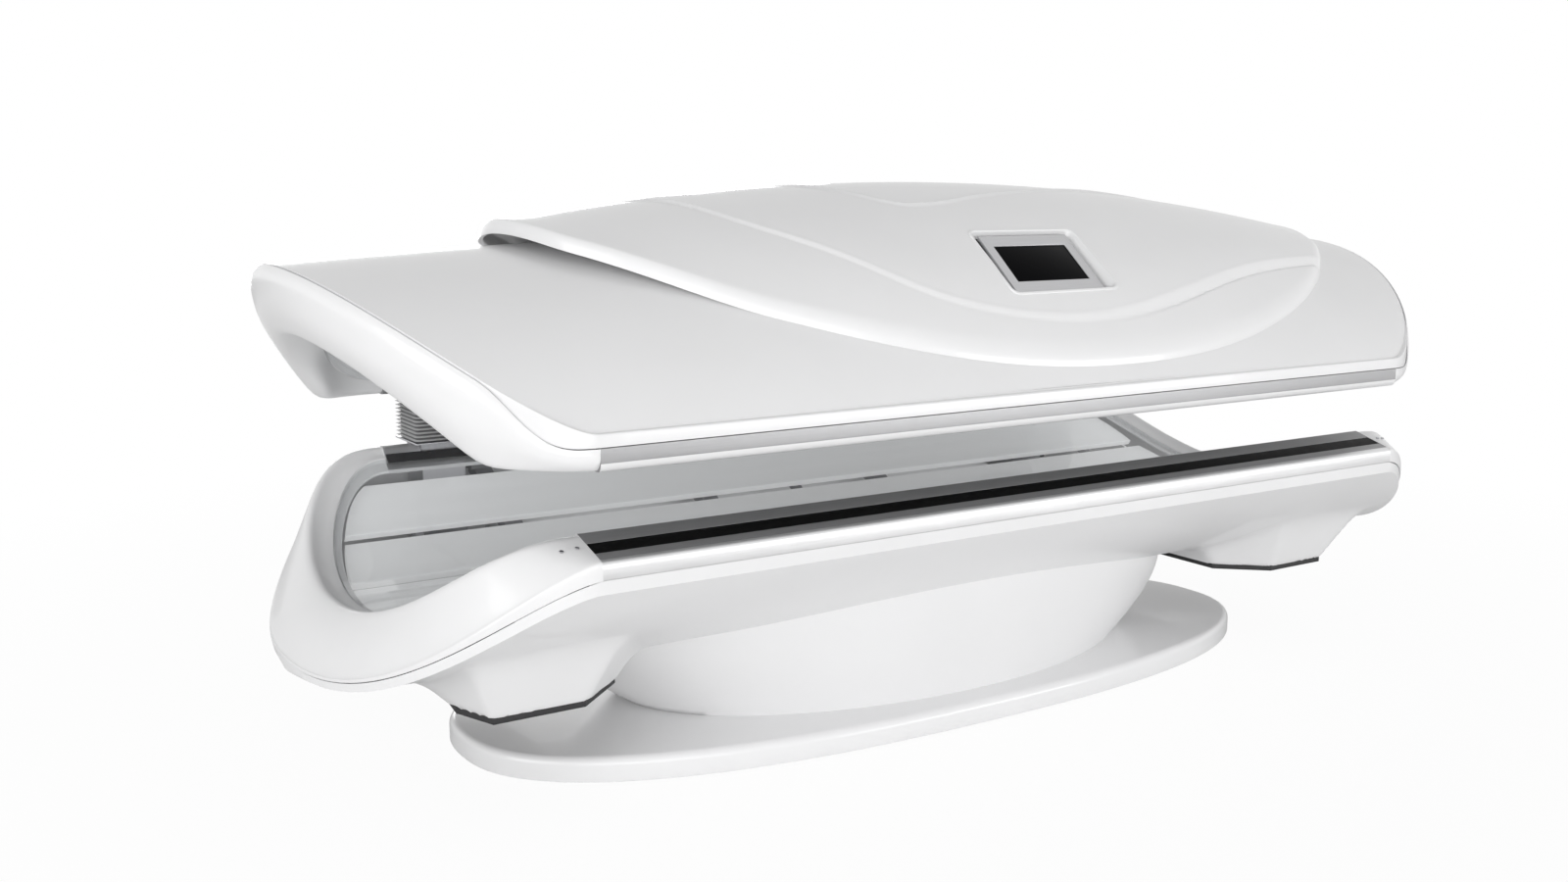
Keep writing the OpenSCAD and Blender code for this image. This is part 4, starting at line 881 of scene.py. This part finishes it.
def hood_top(x, y):
    """Hood with its steep edge band, the crease above it and its two curved lines."""
    d, t = rim_distance(x, y)
    wide = smooth((x + 0.55) / 0.5)
    gap, band, reach = rim_gap(x), 0.019, 0.010 + 0.007 * wide
    over = -smin(-hood_over(x), -gap - band, 0.006)
    band = np.minimum(band, over - gap)
    edge = np.maximum(0, 1 - (1 - np.clip(d / reach, 0, 1)) ** 2.6) ** (1 / 2.6)
    crown = (over - band - gap) * (1 - t * t) ** 1.05
    return shell_z(x, y) + gap + band * edge + crown + hood_lines(x, y)


def hood_object():
    """Hood with its underside, thin at the rim, its stations finest at both ends."""
    left = np.concatenate([BLUNT + 0.045 * (1 - np.cos(np.linspace(0.04, math.pi / 2, 34))),
                           np.arange(BLUNT + 0.048, 0.80, 0.0034)])
    xs = np.concatenate([left, 0.80 + 0.0799 * np.sin(np.linspace(0, math.pi / 2, 40))[1:]])
    t = np.sin(np.linspace(-math.pi / 2, math.pi / 2, 141))
    t = np.sort(np.concatenate([t, np.linspace(-0.93, 0.1, 150)]))
    x = np.repeat(xs[:, None], len(t), 1)
    y = hood_half(x) * t
    z = hood_top(x, y)
    d, _ = rim_distance(x, y)
    base = shell_z(x, y) + rim_gap(x) - 0.0005
    inside = smooth((d - 0.007) / 0.010)
    zi = np.maximum(base + np.maximum(0, z - 0.0045 - base) * inside, shell_z(x, y) + 0.0003)
    up, low = np.stack([x, y, z], -1), np.stack([x, y, np.minimum(zi, z - 0.0003)], -1)
    rings = np.concatenate([up, low[:, ::-1]], 1)
    return loft("hood_skin", rings, WHITE, "canopy", ["hood"], smooth=70)


hood = hood_object()

# Screen

# Middle of the screen, its tilt, and the directions along, up and out of it
MID, TILT = np.array([0.077, -0.286, 0.691]), math.radians(40.3)
ALONG = np.array([1, 0, 0])
UP = np.array([0, math.cos(TILT), math.sin(TILT)])
OUT = np.array([0, -math.sin(TILT), math.cos(TILT)])


def on_screen(u, v, w):
    return MID + u * ALONG + v * UP + w * OUT


def rounded(lx, ly, r, n=6):
    """Rectangle with round corners."""
    pts = []
    for cx, cy, a0 in ((1, 1, 0), (-1, 1, 90), (-1, -1, 180), (1, -1, 270)):
        for k in range(n + 1):
            t = math.radians(a0 + 90 * k / n)
            pts.append((cx * (lx / 2 - r) + r * math.cos(t), cy * (ly / 2 - r) + r * math.sin(t)))
    return pts


def on_hood(outline, rise):
    """Points over an outline on the screen's plane, at a height over the hood's surface."""
    uv = np.array(outline)
    u, v = uv[:, :1], uv[:, 1:]
    lo, hi = np.full(len(uv), -0.06), np.full(len(uv), 0.06)
    for _ in range(24):
        mid = (lo + hi) / 2
        p = on_screen(u, v, mid[:, None])
        above = p[:, 2] > hood_top(p[:, 0], p[:, 1])
        hi, lo = np.where(above, mid, hi), np.where(above, lo, mid)
    return on_screen(u, v, (lo + rise)[:, None])


cut(hood, [prism("cut_screen", rounded(0.201, 0.134, 0.012), -0.05, 0.06, on_screen)])
# Length, width and corner radius of each ring, with its height over the hood, then over the screen
levels = [(0.209, 0.142, 0.016, 0.0004), (0.207, 0.140, 0.015, 0.0018), (0.202, 0.135, 0.013, 0.0022),
          (0.198, 0.131, 0.012, 0.0006)]
sunk = [(0.186, 0.128, 0.009, -0.0095), (0.180, 0.124, 0.006, -0.0098), (0.196, 0.130, 0.008, -0.0155)]
rings = [on_hood(rounded(lx, ly, r), h) for lx, ly, r, h in levels]
rings += [np.array([on_screen(u, v, h) for u, v in rounded(lx, ly, r)]) for lx, ly, r, h in sunk]
rings.append(on_hood(rounded(0.198, 0.131, 0.008), -0.004))
loft("screen_surround", np.array(rings), WHITE, "canopy", ["screen_recess"], looped=True, smooth=40)
dress("screen_bezel", BEZEL, 0.0012)
dress("display_panel", SCREEN, 0.0004)

# Bellows, cable and gland

# Place of each point within a pleat, from its lower valley up, and its distance from the axis
PLEAT = ((0, 0.0412), (0.40, 0.0488), (0.5, 0.0500), (0.56, 0.0488), (0.76, 0.0455))
# Number of pleats, cut of their corners, size of the inner side, distance within which faces lie in the folds
# and take painted shade
PLEATS, PLEAT_CUT, CLOTH_IN, DEEP = 13, 0.004, 0.93, 0.0445


def bellows(sign):
    z0, z1 = 0.3983, 0.4777
    cx, c = sign * COL_X, PLEAT_CUT
    levels = [(i + part, r) for i in range(PLEATS) for part, r in PLEAT] + [(PLEATS, PLEAT[0][1])]
    rings = []
    for at, r in levels:
        z = z0 + (z1 - z0) * at / PLEATS
        corners = [(r, -r + c), (r, r - c), (r - c, r), (-r + c, r), (-r, r - c), (-r, -r + c), (-r + c, -r),
                   (r - c, -r)]
        rings.append([(cx + x, COL_Y + y, z) for x, y in corners])
    inner = [[(cx + (x - cx) * CLOTH_IN, COL_Y + (y - COL_Y) * CLOTH_IN, z) for x, y, z in ring]
             for ring in rings[::-1]]
    o = loft("bellows_" + ("left" if sign < 0 else "right") + "_skin", rings + inner, BELLOWS, None,
             looped=True, smooth=20)
    # Painted shade: faces near the pleats' inner valleys and faces turned down take the dark copy of the
    # cloth
    o.data.materials.append(FOLD_PAINTED_SHADE)
    for poly in o.data.polygons:
        deep = max(abs(poly.center.x - cx), abs(poly.center.y - COL_Y)) < DEEP
        if deep or poly.normal.z < -0.2:
            poly.material_index = 1
    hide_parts("bellows_left" if sign < 0 else "bellows_right")
    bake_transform(o)


bellows(-1)
bellows(1)

# From the gland up to the canopy, in millimetres
route = np.array([(-596, 309, 412), (-596, 309, 420), (-597, 310, 428), (-601, 311, 436), (-607, 312, 443),
                  (-615, 312, 450), (-622, 312, 457), (-626, 312, 464), (-628, 312, 471),
                  (-628, 312, 477.7)]) / 1000


def tube(path, r, n=16):
    """Rings of a round tube along a path."""
    rings = []
    for i in range(len(path)):
        d = path[min(i + 1, len(path) - 1)] - path[max(i - 1, 0)]
        d = d / np.linalg.norm(d)
        v = np.cross(d, [0, 1, 0])
        v /= np.linalg.norm(v)
        w = np.cross(d, v)
        rings.append([path[i] + r * (math.cos(2 * math.pi * k / n) * v + math.sin(2 * math.pi * k / n) * w)
                      for k in range(n)])
    return rings


cable = loft("lift_cable_skin", tube(spline(route, 5), 0.0035), RUBBER, None, smooth=60)
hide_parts("lift_cable")
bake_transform(cable)
dress("cable_gland", BLACK, 0.0008)

# The other nodes

ONE, ENDS, EDGES = ("",), ("_left", "_right"), ("_front", "_back")
for stem, sides, mat, bevel in (
        ("floor_pads", ONE, RUBBER, 0.0006), ("pedestal_posts", ONE, STEEL, 0.001),
        ("foot_pad", ENDS, RUBBER, 0.0015), ("rail_strip", EDGES, STRIP, 0.0003),
        ("canopy_light_panels", ONE, PANEL_DIM, 0.0015), ("power_supplies", ONE, SUPPLY, 0.001),
        ("control_box", ONE, BLACK, 0.0015), ("power_inlet", ONE, BLACK, 0.0005),
        ("main_switch", ONE, ROCKER, 0.0006), ("column_outer", ENDS, COLUMN, 0.001),
        ("column_middle", ENDS, COLUMN, 0.0008), ("column_inner", ENDS, COLUMN, 0.0008),
        ("column_head", ENDS, STEEL, 0.001), ("lift_motor", ENDS, MOTOR, 0.0015),
        ("cap_screws", ONE, SCREW, 0.0003), ("canopy_drivers", ONE, SUPPLY, 0.001),
        ("bed_fan_frame", ENDS, BLACK, 0.0008), ("canopy_fan_frame", ENDS, BLACK, 0.0008),
        ("bed_fan_rotor", ENDS, BLACK, 0.0004), ("canopy_fan_rotor", ENDS, BLACK, 0.0004)):
    for side in sides:
        dress(stem + side, mat, bevel)
for node, mat in (("bed_frame", STEEL), ("canopy_frame", STEEL), ("bed_seals", RUBBER),
                  ("lift_screw_left", SCREW), ("lift_screw_right", SCREW)):
    paint(node, mat)

# Floor, lights and background


def lamp(name, place, target, size, power):
    """Soft rectangular lamp."""
    data = bpy.data.lights.new(name, "AREA")
    data.shape = "RECTANGLE"
    data.size, data.size_y = size
    data.energy = power
    o = bpy.data.objects.new(name, data)
    scene.collection.objects.link(o)
    o.location = place
    o.rotation_euler = (Vector(target) - Vector(place)).to_track_quat("-Z", "Y").to_euler()


lamp("key", (-2.0, -4.8, 0.85), (0, 0, 0.35), (4.4, 1.6), 76)
lamp("fill", (2.8, -4.4, 0.6), (0, 0, 0.35), (2.8, 1.1), 58)
lamp("side", (-4.4, -1.2, 1.3), (-0.6, -0.1, 0.3), (3.0, 1.9), 56)
lamp("rear", (1.2, 4.8, 0.9), (0, 0, 0.35), (3.4, 1.2), 45)

# Floor that looks almost as white as the background to the camera and still takes the light
floor_me = bpy.data.meshes.new("floor")
floor_me.from_pydata([(-12, -12, 0), (12, -12, 0), (12, 12, 0), (-12, 12, 0)], [], [(0, 1, 2, 3)])
floor = bpy.data.objects.new("floor", floor_me)
scene.collection.objects.link(floor)
fm = bpy.data.materials.new("floor")
fm.use_nodes = True
t = fm.node_tree
p = t.nodes["Principled BSDF"]
set_inputs(p, Base_Color=(0.9, 0.9, 0.9, 1), Roughness=0.9, Specular_IOR_Level=0.1)
glow = add_node(t, "Emission", Color=(1, 1, 1, 1), Strength=1.0)
path = add_node(t, "LightPath")
coord = add_node(t, "TexCoord")
dist = add_node(t, "VectorMath", "LENGTH")
span = add_node(t, "MapRange", From_Min=0.9, From_Max=2.4, To_Min=0.95, To_Max=1.0)
seen = add_node(t, "Math", "MAXIMUM")
times = add_node(t, "Math", "MULTIPLY")
mix = add_node(t, "MixShader")
link(coord, "Object", dist, 0)
link(dist, "Value", span, "Value")
link(path, "Is Camera Ray", seen, 0)
link(path, "Is Transmission Ray", seen, 1)
link(seen, "Value", times, 0)
link(span, "Result", times, 1)
link(times, "Value", mix, "Fac")
link(p, "BSDF", mix, 1)
link(glow, "Emission", mix, 2)
link(mix, "Shader", t.nodes["Material Output"], "Surface")
floor_me.materials.append(fm)

# Background: plain white for the camera and in reflections, dimmer as a light
world = bpy.data.worlds.new("studio")
scene.world = world
world.use_nodes = True
t = world.node_tree
dim = t.nodes["Background"]
set_inputs(dim, Color=(1, 1, 1, 1), Strength=0.44)
plain = add_node(t, "Background", Color=(1, 1, 1, 1), Strength=1.0)
path = add_node(t, "LightPath")
either = add_node(t, "Math", "MAXIMUM")
third = add_node(t, "Math", "MAXIMUM")
mix = add_node(t, "MixShader")
link(path, "Is Camera Ray", either, 0)
link(path, "Is Glossy Ray", either, 1)
link(either, "Value", third, 0)
link(path, "Is Transmission Ray", third, 1)
link(third, "Value", mix, "Fac")
link(dim, "Background", mix, 1)
link(plain, "Background", mix, 2)
link(mix, "Shader", t.nodes["World Output"], "Surface")
scene.view_settings.view_transform = "Standard"
